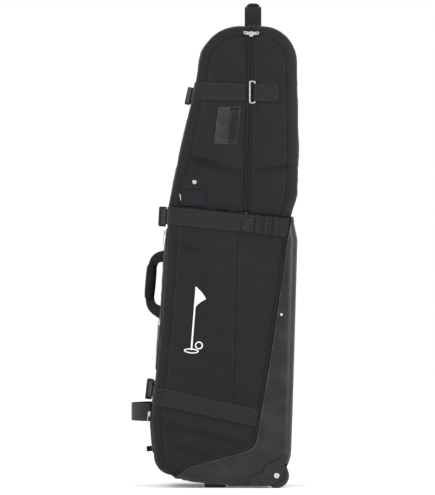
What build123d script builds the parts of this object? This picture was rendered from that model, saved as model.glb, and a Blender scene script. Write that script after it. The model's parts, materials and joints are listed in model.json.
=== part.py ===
"""Wheeled golf travel case: soft padded bag with a moulded back shell, a zipped hood and two wheels.

Millimetres. The case stands up: +Z is up, -X is its front (buckles and handles), +X is its back
(shell and wheels). -Y is its left side. The origin is the middle of the skid foot, on the ground.
"""

from build123d import *
from math import atan, degrees
import os

# ---------------------------------------------------------------- driving dimensions
CORNER_RADIUS = 28.0  # rounding between the side panels and the gusset
LOWER_HALF_WIDTH = 160.0
HOOD_HALF_WIDTH = 146.0
WAIST_FRONT = (-130.0, 787.0)  # the line where the hood meets the lower bag, front end
WAIST_BACK = (211.0, 752.0)
HOOD_TOP = 1289.0

FABRIC = 3.0  # wall of coated fabric with its backing
FOAM = 5.2
SEAM_GAP = 0.3  # between two sewn layers
SEAM_INSET = 30.0  # piping line, inwards from the outline

SHELL_WALL = 4.1
WEBBING = 2.2
WEBBING_WIDTH = 50.0

WHEEL_RADIUS = 35.0
WHEEL_WIDTH = 24.0
WHEEL_X = 172.0
WHEEL_MIDDLE_Y = 143.0  # middle of a wheel, out from the centre plane
BOLT_RADIUS = 3.96
BEARING_BORE = 4.0
BEARING_RADIUS = 11.0
BEARING_WIDTH = 7.0

BAND_INNER = 0.4  # a sewn band lies this far off the fabric
BAND_OUTER = BAND_INNER + WEBBING
FOAM_OUTER = -FABRIC - SEAM_GAP
FOAM_INNER = FOAM_OUTER - FOAM
SHELL_OUTER = BAND_INNER + SHELL_WALL
FAR = 420.0  # reaches past the bag on every side

# Side outlines of the two fabric blocks, as corners of (x, z, corner radius), front first.
LOWER_OUTLINE = [
    (-124.0, 900.0, 0.0),
    (-137.0, 640.0, 900.0),
    (-152.0, 430.0, 900.0),
    (-179.0, 190.0, 300.0),
    (-166.0, 46.0, 55.0),
    (-60.0, 20.0, 150.0),
    (30.0, 12.5, 200.0),
    (206.0, 12.5, 95.0),
    (214.0, 260.0, 900.0),
    (226.0, 692.0, 60.0),
    (209.0, 775.0, 100.0),
    (209.0, 900.0, 0.0),
]
HOOD_OUTLINE = [
    (-139.0, 640.0, 0.0),
    (-130.0, 787.0, 150.0),
    (-52.0, 1140.0, 600.0),
    (-30.0, HOOD_TOP, 120.0),
    (226.0, HOOD_TOP, 100.0),
    (232.0, 940.0, 400.0),
    (228.0, 815.0, 90.0),
    (209.0, 752.0, 50.0),
    (209.0, 640.0, 0.0),
]
# Front edge of the moulded shell on the side of the bag, from the waist down to the front tip.
SHELL_EDGE = [
    (214.0, 757.0, 0.0),
    (203.0, 690.0, 120.0),
    (160.0, 400.0, 300.0),
    (113.0, 111.0, 42.0),
    (-72.0, 59.0, 25.0),
    (-118.0, 24.0, 0.0),
]
ZIP_FOOT = (88.0, 764.0)  # the hood zip, side view
ZIP_HEAD = (102.0, HOOD_TOP)


# ---------------------------------------------------------------- shared geometry
def outline_face(corners, grow=0.0):
    """A closed side outline with rounded corners, moved outwards by grow."""
    points = [(x, z) for x, z, _ in corners]
    radii = [radius for _, _, radius in corners]
    face = make_face(FilletPolyline(*points, radius=radii, close=True))
    if grow:
        face = offset(face, amount=grow, kind=Kind.INTERSECTION)
    return face


def prism(face, low=-FAR, high=FAR):
    """A face drawn in side view (x, z), as a block from y = low to y = high."""
    block = extrude(Plane.XZ * face, high - low)
    return Pos(0, high, 0) * block


def polygon_prism(points, low=-FAR, high=FAR):
    return prism(make_face(Polyline(*points, close=True)), low, high)


def both_sides(part):
    """The part and its mirror image across the centre plane."""
    return [part, mirror(part, about=Plane.XZ)]


def interpolate(low, high, share):
    return low + (high - low) * share


def block(corners, half_width, open_end, grow):
    """A padded block: the side outline between two flat side walls, with its edges rounded."""
    body = prism(outline_face(corners, grow), -half_width - grow, half_width + grow)
    walls = body.faces().filter_by(Axis.Y)
    edges = [
        edge for wall in walls for edge in wall.edges() if abs(edge.center().Z - open_end) > 15
    ]
    return fillet(edges, CORNER_RADIUS + grow)


SKINS = {}


def lower_skin(grow):
    if ("lower", grow) not in SKINS:
        SKINS["lower", grow] = block(LOWER_OUTLINE, LOWER_HALF_WIDTH, 900, grow)
    return SKINS["lower", grow]


def hood_skin(grow):
    if ("hood", grow) not in SKINS:
        SKINS["hood", grow] = block(HOOD_OUTLINE, HOOD_HALF_WIDTH, 640, grow)
    return SKINS["hood", grow]


def layer(skin, inner, outer, region):
    """What a sheet between two offsets of the bag's skin fills inside a region."""
    return (skin(outer) & region) - skin(inner)


def waist_z(x):
    share = (x - WAIST_FRONT[0]) / (WAIST_BACK[0] - WAIST_FRONT[0])
    return interpolate(WAIST_FRONT[1], WAIST_BACK[1], share)


def zip_x(z):
    share = (z - ZIP_FOOT[1]) / (ZIP_HEAD[1] - ZIP_FOOT[1])
    return interpolate(ZIP_FOOT[0], ZIP_HEAD[0], share)


def below_waist(clearance=0.0):
    left, right = -FAR, FAR
    return polygon_prism(
        [(left, -FAR), (right, -FAR), (right, waist_z(right) - clearance),
         (left, waist_z(left) - clearance)]
    )


def above_waist(clearance=0.0):
    left, right, top = -FAR, FAR, HOOD_TOP + FAR
    return polygon_prism(
        [(left, top), (right, top), (right, waist_z(right) + clearance),
         (left, waist_z(left) + clearance)]
    )


def behind_zip(start, end):
    """The slice between two distances behind the hood's zip line; negative is in front of it."""
    low, high = 600.0, HOOD_TOP + 100
    return polygon_prism(
        [(zip_x(low) + start, low), (zip_x(low) + end, low),
         (zip_x(high) + end, high), (zip_x(high) + start, high)]
    )


def slab(middle_z, slope_degrees, height):
    """A slice of the given height through (0, middle_z), tilted down towards the back."""
    return Pos(0, 0, middle_z) * Rot(0, slope_degrees, 0) * Box(2 * FAR, 2 * FAR, height)


def side_frame(x, z, lift=BAND_INNER):
    """Local plane on the left side wall: x to the back, y up the wall, z out of it."""
    half_width = HOOD_HALF_WIDTH if z > waist_z(x) else LOWER_HALF_WIDTH
    return Plane(origin=(x, -half_width - lift, z), x_dir=(1, 0, 0), z_dir=(0, -1, 0))


def front_frame(corners, z, lift=BAND_INNER):
    """Local plane on the middle of the front face: x to the left side, y up, z out."""
    front_corners = sorted(corners[:5] if corners is LOWER_OUTLINE else corners[:4], key=lambda c: c[1])
    low, high = next(pair for pair in zip(front_corners, front_corners[1:]) if pair[1][1] >= z)
    x = interpolate(low[0], high[0], (z - low[1]) / (high[1] - low[1]))
    normal = Vector(low[1] - high[1], 0, high[0] - low[0]).normalized()
    origin = Vector(x, 0, z) + normal * lift
    return Plane(origin=origin, x_dir=(0, -1, 0), z_dir=normal)


def rounded_plate(width, height, thickness, radius):
    """A flat plate standing on its local plane."""
    return extrude(RectangleRounded(width, height, radius), thickness)


def cylinder_y(x, z, radius, low, high):
    """A cylinder along Y between two distances from the centre plane."""
    return prism(Pos(x, z) * Circle(radius), low, high)


# ---------------------------------------------------------------- wheels and their housings
HOUSING_INNER_Y = 124.0
HOUSING_OUTER_Y = 163.0
SLOT_INNER_Y = WHEEL_MIDDLE_Y - WHEEL_WIDTH / 2 - 1.5
SLOT_OUTER_Y = WHEEL_MIDDLE_Y + WHEEL_WIDTH / 2 + 1.5
WELL_RADIUS = WHEEL_RADIUS + 4
BOSS_RADIUS = 17.5
HOUSING_OUTLINE = [
    (98.0, 8.0), (160.0, 9.0), (188.0, 30.0), (196.0, 68.0), (203.0, 88.0),
    (188.0, 97.0), (166.0, 70.0), (138.0, 48.0), (98.0, 34.0),
]


def axle_disc(radius):
    return Pos(WHEEL_X, WHEEL_RADIUS) * Circle(radius)


def housing_face(grow=0.0):
    face = make_face(Polyline(*HOUSING_OUTLINE, close=True))
    cup_side = make_face(Polyline((90, 2), (215, 90), (215, 110), (90, 110), close=True))
    face += axle_disc(WELL_RADIUS + 3.5) & cup_side
    face += axle_disc(BOSS_RADIUS)
    if grow:
        face = offset(face, amount=grow, kind=Kind.INTERSECTION)
    return face


def wheel_pockets():
    """The room that both wheels and their housings take out of the bag's corner."""
    face = housing_face(SEAM_GAP) + axle_disc(WELL_RADIUS + 3.8)
    nut_room = prism(axle_disc(11.0), -HOUSING_INNER_Y - 1, -HOUSING_INNER_Y + 10)
    return both_sides(prism(face, -FAR, -HOUSING_INNER_Y + SEAM_GAP) + nut_room)


def wheel_housing():
    """The left housing: a slotted block with an ear on each side of the wheel."""
    body = prism(housing_face(), -HOUSING_OUTER_Y, -HOUSING_INNER_Y)
    edges = body.faces().sort_by(Axis.Y)[0].edges()
    body = chamfer(edges, 1.2)
    body -= cylinder_y(WHEEL_X, WHEEL_RADIUS, WELL_RADIUS, -SLOT_OUTER_Y, -SLOT_INNER_Y)
    body -= cylinder_y(WHEEL_X, WHEEL_RADIUS, BOLT_RADIUS + 0.1, -FAR, 0)
    body -= cylinder_y(WHEEL_X, WHEEL_RADIUS, 10.2, -FAR, -HOUSING_OUTER_Y + 2.5)
    return body


def tyre():
    ring = Circle(WHEEL_RADIUS) - Circle(23.0)
    body = extrude(ring, WHEEL_WIDTH / 2, both=True)
    outer_edges = body.edges().filter_by(GeomType.CIRCLE).sort_by(SortBy.RADIUS)[-2:]
    return place_wheel(fillet(outer_edges, 8.0))


def hub():
    body = Cylinder(22.98, WHEEL_WIDTH - 3)
    body -= Cylinder(7.5, WHEEL_WIDTH)
    seat_depth = BEARING_WIDTH + 0.5
    for side in (-1, 1):
        seat_middle = side * ((WHEEL_WIDTH - 3) / 2 - seat_depth / 2 + 0.05)
        body -= Pos(0, 0, seat_middle) * Cylinder(BEARING_RADIUS + 0.02, seat_depth + 0.1)
        web_pocket = Pos(0, 0, side * (WHEEL_WIDTH - 3) / 2) * (Cylinder(19.5, 10) - Cylinder(13.5, 10))
        spokes = [Rot(0, 0, 60 * n) * Box(60, 3.2, 12) for n in range(3)]
        body -= web_pocket - spokes
    return place_wheel(body)


def bearings():
    offset_y = (WHEEL_WIDTH - 3) / 2 - BEARING_WIDTH / 2 - 0.4
    ring = Cylinder(BEARING_RADIUS, BEARING_WIDTH) - Cylinder(BEARING_BORE, BEARING_WIDTH)
    groove = Cylinder(9.3, BEARING_WIDTH) - Cylinder(6.2, BEARING_WIDTH)
    solids = []
    for side in (-1, 1):
        body = ring - Pos(0, 0, side * (BEARING_WIDTH - 0.6)) * groove
        solids.append(place_wheel(Pos(0, 0, side * offset_y) * body))
    return solids


def place_wheel(part):
    """Puts a part made around the Z axis onto the left wheel's axis."""
    return Pos(WHEEL_X, -WHEEL_MIDDLE_Y, WHEEL_RADIUS) * Rot(90, 0, 0) * part


def axle_bolt():
    head_seat = HOUSING_OUTER_Y - 2.45
    shaft = cylinder_y(WHEEL_X, WHEEL_RADIUS, BOLT_RADIUS, -head_seat, -HOUSING_INNER_Y + 8)
    head = cylinder_y(WHEEL_X, WHEEL_RADIUS, 7.8, -head_seat - 4.2, -head_seat)
    head = fillet(head.faces().sort_by(Axis.Y)[0].edges(), 1.8)
    socket = Pos(WHEEL_X, -head_seat - 4.2, WHEEL_RADIUS) * Rot(90, 0, 0)
    head -= socket * extrude(RegularPolygon(2.9, 6), 2.2, both=True)
    return shaft + head


def axle_nut():
    face = Pos(WHEEL_X, WHEEL_RADIUS) * (RegularPolygon(7.5, 6) - Circle(BOLT_RADIUS + 0.05))
    return prism(face, -HOUSING_INNER_Y + 0.1, -HOUSING_INNER_Y + 6.6)


def axle_spacer():
    inner_gap = (WHEEL_WIDTH - 3) / 2 - BEARING_WIDTH - 0.5
    ring = Pos(WHEEL_X, WHEEL_RADIUS) * (Circle(6.0) - Circle(BEARING_BORE + 0.02))
    return prism(ring, -WHEEL_MIDDLE_Y - inner_gap, -WHEEL_MIDDLE_Y + inner_gap)


# ---------------------------------------------------------------- back shell and foot
FOOT_HALF_LENGTH = 30.0
FOOT_HALF_WIDTH = 105.0
SKID_X = (38.0, 158.0)
SKID_HALF_WIDTH = 112.0
SKID_TOP = LOWER_OUTLINE[7][1] - SHELL_OUTER - SEAM_GAP
SKID_THICKNESS = 3.2
SCREW_PLACES = [(x, y) for x in (58.0, 138.0) for y in (-70.0, 70.0)] + [(0.0, -70.0), (0.0, 70.0)]
SCREW_TOP = 24.0
SHANK_TOP = 11.4
RIVET_X = -86.0


def shell_region(grow=0.0):
    """Side view region that the shell covers, bounded by its front edge."""
    corners = SHELL_EDGE + [(-118.0, -80.0, 0.0), (300.0, -80.0, 0.0), (300.0, 757.0, 0.0)]
    return prism(outline_face(corners, grow))


def screw_cut(radius, low, high):
    return [Pos(x, y, (low + high) / 2) * Cylinder(radius, high - low) for x, y in SCREW_PLACES]


def rivet_frames():
    """Planes under the shell's front tip, facing down and forwards."""
    tip = LOWER_OUTLINE[4], LOWER_OUTLINE[5]
    share = (RIVET_X - tip[0][0]) / (tip[1][0] - tip[0][0])
    z = interpolate(tip[0][1], tip[1][1], share)
    normal = Vector(tip[1][1] - tip[0][1], 0, tip[0][0] - tip[1][0]).normalized()
    return [
        Plane(origin=Vector(RIVET_X, y, z) + normal * SHELL_OUTER, x_dir=(0, 1, 0), z_dir=normal)
        for y in (-118.0, -40.0, 40.0, 118.0)
    ]


def back_shell(pockets):
    region = shell_region()
    shell = layer(lower_skin, BAND_INNER, SHELL_OUTER, region)
    rim_region = region - shell_region(-9.0)
    shell += layer(lower_skin, BAND_INNER, SHELL_OUTER + 1.6, rim_region)
    for y in (-84, -42, 0, 42, 84):
        groove_slab = Pos(FAR + 100, y, 400) * Box(2 * FAR, 9, 560)
        shell -= layer(lower_skin, SHELL_OUTER - 1.5, SHELL_OUTER + 3, groove_slab)
    for x, z in ((171, 297), (122, 97)):
        for step in (-5, 5):
            slot = extrude(SlotOverall(13, 4, rotation=75), 3, both=True)
            shell -= both_sides(side_frame(x + step, z, SHELL_OUTER) * Pos(0, 0, 1.8) * slot)
    shell -= pockets
    shell -= screw_cut(2.1, -1, SCREW_TOP)
    shell -= [frame * Pos(0, 0, -SHELL_WALL) * Cylinder(2.1, 16) for frame in rivet_frames()]
    return shell


def shell_binding(pockets):
    region = shell_region(8.0) - shell_region(0.6)
    return layer(lower_skin, BAND_INNER, BAND_OUTER, region & below_waist(1.0)) - pockets


def shell_rivets():
    head = Pos(0, 0, 1.0) * Cylinder(5.0, 1.9)
    head = fillet(head.faces().sort_by(Axis.Z)[-1].edges(), 1.2)
    return [frame * (head + Pos(0, 0, -1.6) * Cylinder(2.0, 3.6)) for frame in rivet_frames()]


def skid_foot():
    body = Pos(0, 0, 10) * Box(2 * FOOT_HALF_LENGTH, 2 * FOOT_HALF_WIDTH, 20)
    body = fillet(body.edges().filter_by(Axis.Z), 12)
    body -= lower_skin(SHELL_OUTER + SEAM_GAP)
    body = chamfer(body.faces().sort_by(Axis.Z)[0].edges(), 2.0)
    body -= screw_cut(2.1, -1, SCREW_TOP)
    body -= screw_cut(4.6, -1, 2.6)
    return body


def skid_plate():
    length = SKID_X[1] - SKID_X[0]
    body = Pos(sum(SKID_X) / 2, 0, SKID_TOP - SKID_THICKNESS / 2) * Box(
        length, 2 * SKID_HALF_WIDTH, SKID_THICKNESS
    )
    body = fillet(body.edges().filter_by(Axis.Z), 10)
    body = chamfer(body.faces().sort_by(Axis.Z)[0].edges(), 1.2)
    body -= screw_cut(2.1, -1, SCREW_TOP)
    body -= screw_cut(4.6, -1, SKID_TOP - SKID_THICKNESS + 1.9)
    return body


def chassis_screws():
    screws = []
    for x, y in SCREW_PLACES:
        on_foot = abs(x) < FOOT_HALF_LENGTH
        head_top = 2.5 if on_foot else SKID_TOP - SKID_THICKNESS + 1.8
        head = Pos(x, y, head_top - 0.8) * Cylinder(4.4, 1.6)
        recess = Pos(x, y, head_top - 1.6) * extrude(RegularPolygon(1.7, 6), 0.7)
        shank_height = SHANK_TOP - head_top
        shank = Pos(x, y, head_top + shank_height / 2) * Cylinder(2.0, shank_height)
        screws.append(head + shank - recess)
    return screws


# ---------------------------------------------------------------- lower bag
INNER_STRAP_Z = 560.0
BOARD_Z = 50.0
BOARD_THICKNESS = 5.0
POCKET_HALF_WIDTH = 120.0
POCKET_ZIP_Y = -127.0
ZIP_TAPE = 8.0


def lower_fabric(pockets):
    """The gusset that runs round the outline, and the two side panels."""
    wall = (lower_skin(0.0) & below_waist(0.5)) - lower_skin(-FABRIC) - pockets
    gusset = wall - prism(outline_face(LOWER_OUTLINE, -SEAM_INSET))
    left = wall & prism(outline_face(LOWER_OUTLINE, -SEAM_INSET - SEAM_GAP), -FAR, -50)
    return gusset, left, mirror(left, about=Plane.XZ)


def lower_liner(pockets):
    return (lower_skin(FOAM_OUTER) & below_waist(0.5)) - lower_skin(FOAM_INNER) - pockets


def base_board(pockets):
    region = Pos(0, 0, BOARD_Z) * Box(2 * FAR, 2 * FAR, BOARD_THICKNESS)
    return (lower_skin(FOAM_INNER - SEAM_GAP) & region) - pockets


def inner_strap():
    """Webbing ring on the lining that holds the golf bag in place."""
    region = slab(INNER_STRAP_Z, 0, WEBBING_WIDTH)
    return layer(lower_skin, FOAM_INNER - SEAM_GAP - WEBBING, FOAM_INNER - SEAM_GAP, region)


def front_region(low, high, half_width, middle_y=0.0):
    """The part of the front face between two heights."""
    return Pos(-FAR / 2 - 105, middle_y, (low + high) / 2) * Box(FAR, 2 * half_width, high - low)


def pocket_panel(low, high):
    region = front_region(low, high, POCKET_HALF_WIDTH)
    region = fillet(region.edges().filter_by(Axis.X), 24)
    return layer(lower_skin, BAND_INNER, BAND_INNER + 2.0, region)


def pocket_zip_chain():
    """Coil zips down the left edge of the front, one for each pocket."""
    chain = []
    for low, high in ((330, 724), (100, 218)):
        region = front_region(low, high, ZIP_TAPE / 2, POCKET_ZIP_Y)
        chain.append(layer(lower_skin, BAND_INNER, BAND_INNER + 1.6, region))
    return chain


def front_gap(half_width):
    """Leaves a band open under a buckle on the front face."""
    return Pos(-FAR / 2, 0, 600) * Box(FAR, 2 * half_width, 1800)


# ---------------------------------------------------------------- straps and buckles
MID_STRAP_Z = 746.0  # where the strap's middle line crosses x = 0
MID_STRAP_SLOPE = degrees(atan((WAIST_FRONT[1] - WAIST_BACK[1]) / (WAIST_BACK[0] - WAIST_FRONT[0])))
LOWER_STRAP_Z = 221.0
LOWER_STRAP_SLOPE = 12.5
UPPER_STRAP_Z = 1106.0
UPPER_STRAP_SLOPE = 1.6
BUCKLE_GAP = 20.0
RING_X = 104.0
RING_WIDTH = 18.0
RING_HEIGHT = 64.0
RING_BAR = 4.0
UPPER_STRAP_END_X = 178.0

# Buckle sizes: height across the webbing, thickness out of the face, lift off the face.
UPPER_BUCKLE = (1094.0, 50.0, 15.0, 4.0)
MID_BUCKLE = (757.0, 56.0, 21.0, 6.0)
LOWER_BUCKLE = (272.0, 58.0, 19.0, 5.0)


def mid_strap():
    region = slab(MID_STRAP_Z, MID_STRAP_SLOPE, 54) - shell_region(8.6)
    return layer(lower_skin, BAND_INNER, BAND_OUTER, region) - front_gap(BUCKLE_GAP)


def lower_strap():
    """From the buckle at the front round both sides to the shell's edge."""
    region = slab(LOWER_STRAP_Z, LOWER_STRAP_SLOPE, WEBBING_WIDTH) - shell_region(8.6)
    return layer(lower_skin, BAND_INNER, BAND_OUTER, region) - front_gap(BUCKLE_GAP)


def upper_strap_front():
    region = slab(UPPER_STRAP_Z, UPPER_STRAP_SLOPE, WEBBING_WIDTH + 8)
    region &= behind_zip(-2 * FAR, -ZIP_TAPE - SEAM_GAP)
    return layer(hood_skin, BAND_INNER, BAND_OUTER, region) - front_gap(BUCKLE_GAP)


def upper_strap_back():
    low_x, high_x = RING_X + RING_WIDTH / 2 + 0.5, UPPER_STRAP_END_X
    region = slab(UPPER_STRAP_Z, UPPER_STRAP_SLOPE, WEBBING_WIDTH + 6)
    region &= Pos((low_x + high_x) / 2, 0, UPPER_STRAP_Z) * Box(high_x - low_x, 2 * FAR, 200)
    return layer(hood_skin, BAND_INNER, BAND_OUTER, region)


def strap_ring():
    face = RectangleRounded(RING_WIDTH, RING_HEIGHT, 5)
    face -= RectangleRounded(RING_WIDTH - 2 * RING_BAR, RING_HEIGHT - 2 * RING_BAR, 2)
    body = extrude(face, 3.6)
    body = fillet(body.faces().sort_by(Axis.Z)[-1].edges(), 1.4)
    return side_frame(RING_X, UPPER_STRAP_Z - 2, BAND_OUTER + 0.2) * body


def buckle_socket(height, thickness):
    """The slotted half, on the left: x is along the webbing, y across it, z out of the face."""
    body = Pos(22, 0, thickness / 2) * Box(44, height, thickness)
    body = fillet(body.edges().filter_by(Axis.Z), 7)
    body = fillet(body.faces().sort_by(Axis.Z)[-1].edges(), min(4.5, thickness / 4))
    body -= Pos(14, 0, thickness / 2) * Box(30, height - 12, thickness - 6)
    body -= Pos(18, 0, thickness / 2) * Box(13, height + 2, thickness - 6)
    body -= Pos(37, 0, thickness / 2) * Box(5, height - 8, thickness + 2)
    return body


def buckle_plug(height, thickness):
    """The pronged half, on the right; it pulls out to the right."""
    depth = thickness - 7
    base = Pos(-10, 0, thickness / 2) * Box(18, height - 2, thickness - 2)
    base = fillet(base.edges().filter_by(Axis.Z), 5)
    base = fillet(base.faces().sort_by(Axis.Z)[-1].edges(), 2)
    base -= Pos(-12, 0, thickness / 2) * Box(5, height - 8, thickness + 2)
    plug = base + Pos(11.5, 0, thickness / 2) * Box(26, 9, depth)
    for side in (-1, 1):
        prong_y = side * (height / 2 - 13)
        plug += Pos(10, prong_y, thickness / 2) * Box(23, 5, depth)
        plug += Pos(18, prong_y + side * 2.5, thickness / 2) * Box(9, 7, depth)
    return plug


def buckle(corners, size):
    z, height, thickness, lift = size
    frame = front_frame(corners, z, lift)
    return frame * buckle_socket(height, thickness), frame * buckle_plug(height, thickness)


# ---------------------------------------------------------------- hood
def hood_shells(outer, inner):
    """The back and front halves of one layer of the hood."""
    wall = (hood_skin(outer) & above_waist(0.5)) - hood_skin(inner)
    return wall & behind_zip(0.5, 2 * FAR), wall & behind_zip(-2 * FAR, -0.5)


def hood_zip_half(start, end):
    region = behind_zip(start, end) & above_waist(1.5)
    return layer(hood_skin, BAND_INNER, BAND_INNER + 1.6, region)


SNAP_PLACE = (-57.0, 853.0)
ID_MIDDLE_X = -60.0
ID_WIDTH = 70.0
ID_BOTTOM = 786.0
ID_FOLD = 833.0
ID_TOP = 871.0
LABEL_SIZE = (64.0, 104.0)
LABEL_LEAN = 11.0
LABEL_PLACE = (35.0, 1011.0)
MOTIF_PLACE = (-53.0, 469.0)
MOTIF_HEIGHT = 188.0


def id_pocket():
    """Backing and bottom pocket of the address card holder."""
    height = ID_FOLD - ID_BOTTOM
    frame = side_frame(ID_MIDDLE_X, (ID_FOLD + ID_BOTTOM) / 2)
    return frame * rounded_plate(ID_WIDTH, height - 0.6, 2.0, 3)


def id_window():
    height = ID_FOLD - ID_BOTTOM - 14
    frame = side_frame(ID_MIDDLE_X, (ID_FOLD + ID_BOTTOM) / 2 - 1, BAND_INNER + 2.1)
    return frame * rounded_plate(ID_WIDTH - 14, height, 0.6, 2)


def id_flap():
    """Flap above the card pocket: straight along its fold, round at its free end."""
    height = ID_TOP - ID_FOLD
    face = Pos(0, height / 2) * Rectangle(ID_WIDTH, height)
    face = fillet(face.vertices().group_by(Axis.Y)[-1], 27)
    frame = side_frame(ID_MIDDLE_X, ID_FOLD + 0.3)
    return frame * extrude(face, 1.8)


def id_snap_cap():
    cap = fillet(Cylinder(6, 2.4).faces().sort_by(Axis.Z)[-1].edges(), 1.1)
    return side_frame(*SNAP_PLACE, BAND_INNER + 1.9) * Pos(0, 0, 1.2) * cap


def label_patch():
    """Leaning sewn patch with a raised border."""
    width, height = LABEL_SIZE
    face = make_face(
        Polyline(
            (-width / 2 - LABEL_LEAN / 2, -height / 2),
            (width / 2 - LABEL_LEAN / 2, -height / 2),
            (width / 2 + LABEL_LEAN / 2, height / 2),
            (-width / 2 + LABEL_LEAN / 2, height / 2),
            close=True,
        )
    )
    face = fillet(face.vertices(), 2.5)
    plate = extrude(face, 1.6) - Pos(0, 0, 1.0) * extrude(offset(face, amount=-3, kind=Kind.ARC), 1)
    return side_frame(*LABEL_PLACE) * plate


def flag_motif():
    """Embroidered golf flag, hole and ball, as raised satin stitch."""
    half = MOTIF_HEIGHT / 2
    pole = Pos(-6, 4) * Rectangle(4.5, MOTIF_HEIGHT - 12)
    pennant = make_face(
        Line((-3.75, half - 4), (-3.75, half - 58))
        + ThreePointArc((-3.75, half - 58), (14, half - 40), (24, half - 34))
        + ThreePointArc((24, half - 34), (12, half - 18), (-3.75, half - 4))
    )
    cup = Pos(-6, -half + 7) * (Ellipse(21, 7) - Ellipse(16.5, 3.6))
    ball = Pos(14, -half + 24) * (Circle(11) - Circle(7.6))
    face = pole + pennant + cup
    frame = side_frame(*MOTIF_PLACE) * Rot(0, 0, -4.5)
    return [frame * extrude(face, 1.2), frame * extrude(ball, 1.2)]


# ---------------------------------------------------------------- handles
TOP_HANDLE_X = (84.0, 130.0)
TOP_HANDLE_HALF_SPAN = 66.0
TOP_GRIP_Z = 1344.5
TOP_GRIP_SLOT = 30.0  # the webbing is folded to this width inside the grip
GRIP_CLEAR = 0.2
HANDLE_ROOT = 12.0  # the top handle's feet are narrow over this height
CARRY_ROOT_GAP = 20.0  # room for the handle webbing to swing off the front face
GRAB_ROOT_GAP = 17.0
CARRY_ROOTS = ((-134.0, 668.0), (-152.0, 462.0))
CARRY_GRIP = ((-177.0, 632.0), (-185.0, 517.0))
CARRY_WIDTH = 38.0
GRAB_Z = 210.0
GRAB_HALF_SPAN = 104.0
GRAB_REACH = -232.0


def top_handle_path():
    foot = HOOD_TOP + BAND_OUTER + 1
    return FilletPolyline(
        (-TOP_HANDLE_HALF_SPAN, foot), (-TOP_HANDLE_HALF_SPAN, TOP_GRIP_Z),
        (TOP_HANDLE_HALF_SPAN, TOP_GRIP_Z), (TOP_HANDLE_HALF_SPAN, foot), radius=14,
    )


def top_handle_webbing(thickness=3.0):
    """Webbing arch across the hood; its feet are narrow, behind the zip."""
    width = TOP_HANDLE_X[1] - TOP_HANDLE_X[0]
    arch = extrude(Plane.YZ * trace(top_handle_path(), thickness), width)
    arch = Pos(TOP_HANDLE_X[0], 0, 0) * arch
    notch_x = ZIP_HEAD[0] + 4
    notch = Pos(notch_x - 50, 0, HOOD_TOP) * Box(100, 2 * FAR, 2 * HANDLE_ROOT + 10)
    return arch - notch - grip_room(width + 10) + (arch & grip_room(TOP_GRIP_SLOT))


def grip_room(width):
    """The room between the arch's legs, of a given width."""
    return Pos(sum(TOP_HANDLE_X) / 2, 0, TOP_GRIP_Z) * Box(width, 2 * TOP_HANDLE_HALF_SPAN - 24, 20)


def top_handle_grip():
    body = fillet(Box(38, 106, 24).edges().filter_by(Axis.Y), 10)
    body = fillet(body.faces().filter_by(Axis.Y).edges(), 3)
    channel = Box(TOP_GRIP_SLOT + 2 * GRIP_CLEAR, 200, 3 + 2 * GRIP_CLEAR)
    return Pos(sum(TOP_HANDLE_X) / 2, 0, TOP_GRIP_Z) * (body - channel)


def carry_path():
    return FilletPolyline(CARRY_ROOTS[0], CARRY_GRIP[0], CARRY_GRIP[1], CARRY_ROOTS[1], radius=12)


def carry_webbing(thickness=3.0):
    arch = prism(trace(carry_path(), thickness), -CARRY_WIDTH / 2, CARRY_WIDTH / 2)
    return arch - lower_skin(CARRY_ROOT_GAP)


def carry_grip():
    """Padded wrap round the straight middle of the carry handle."""
    (top_x, top_z), (low_x, low_z) = CARRY_GRIP
    length = ((top_x - low_x) ** 2 + (top_z - low_z) ** 2) ** 0.5 - 16
    lean = degrees(atan((top_x - low_x) / (top_z - low_z)))
    body = fillet(Box(30, 46, length).edges().filter_by(Axis.Z), 12)
    body = fillet(body.faces().filter_by(Axis.Z).edges(), 3)
    channel = Box(3 + 2 * GRIP_CLEAR, CARRY_WIDTH + 2 * GRIP_CLEAR, length + 10)
    return Pos((top_x + low_x) / 2, 0, (top_z + low_z) / 2) * Rot(0, lean, 0) * (body - channel)


def grab_loop():
    """Webbing loop across the front, for lifting the case flat."""
    root_x = -178.0
    arc = ThreePointArc((root_x, -GRAB_HALF_SPAN), (GRAB_REACH, 0), (root_x, GRAB_HALF_SPAN))
    loop = extrude(Plane.XY.offset(GRAB_Z - WEBBING_WIDTH / 2) * trace(arc, 3.0), WEBBING_WIDTH)
    return loop - lower_skin(GRAB_ROOT_GAP)


def bottom_tab():
    """Folded webbing tab low on the front face."""
    frame = front_frame(LOWER_OUTLINE, 106, BAND_INNER + 2.3)
    body = Pos(0, 0, 9) * Box(44, 14, 18)
    body -= Pos(0, 0, 9) * Box(50, 8, 11)
    return frame * fillet(body.edges().filter_by(Axis.X), 1.5)


# ---------------------------------------------------------------- zip sliders
HOOD_PULL_LENGTH = 18.0
HOOD_SLIDER_Z = 1266.0
POCKET_PULL_LENGTH = 34.0
POCKET_SLIDER_LIFT = BAND_OUTER + 0.8  # keeps it clear of the coil where the front is curved


def slider(pull_angles, pull_length):
    """A zip slider with its pulls: x across the zip, y along it, z out of the cloth."""
    body = Pos(0, 0, 2.2) * Box(11, 15, 4.4)
    body = fillet(body.edges().filter_by(Axis.Z), 3)
    body = chamfer(body.faces().sort_by(Axis.Z)[-1].edges(), 0.8)
    bridge = Pos(0, 0, 5.6) * Box(3, 9, 2.4)
    solids = [body + bridge]
    for angle in pull_angles:
        tab = SlotOverall(pull_length, 8.5) - Pos(pull_length / 2 - 5, 0) * Circle(2)
        tab = Pos(pull_length / 2 + 4, 0) * tab
        solids.append(Rot(0, 0, angle) * Pos(0, 0, 4.8) * extrude(tab, 1.6))
    return solids


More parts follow.
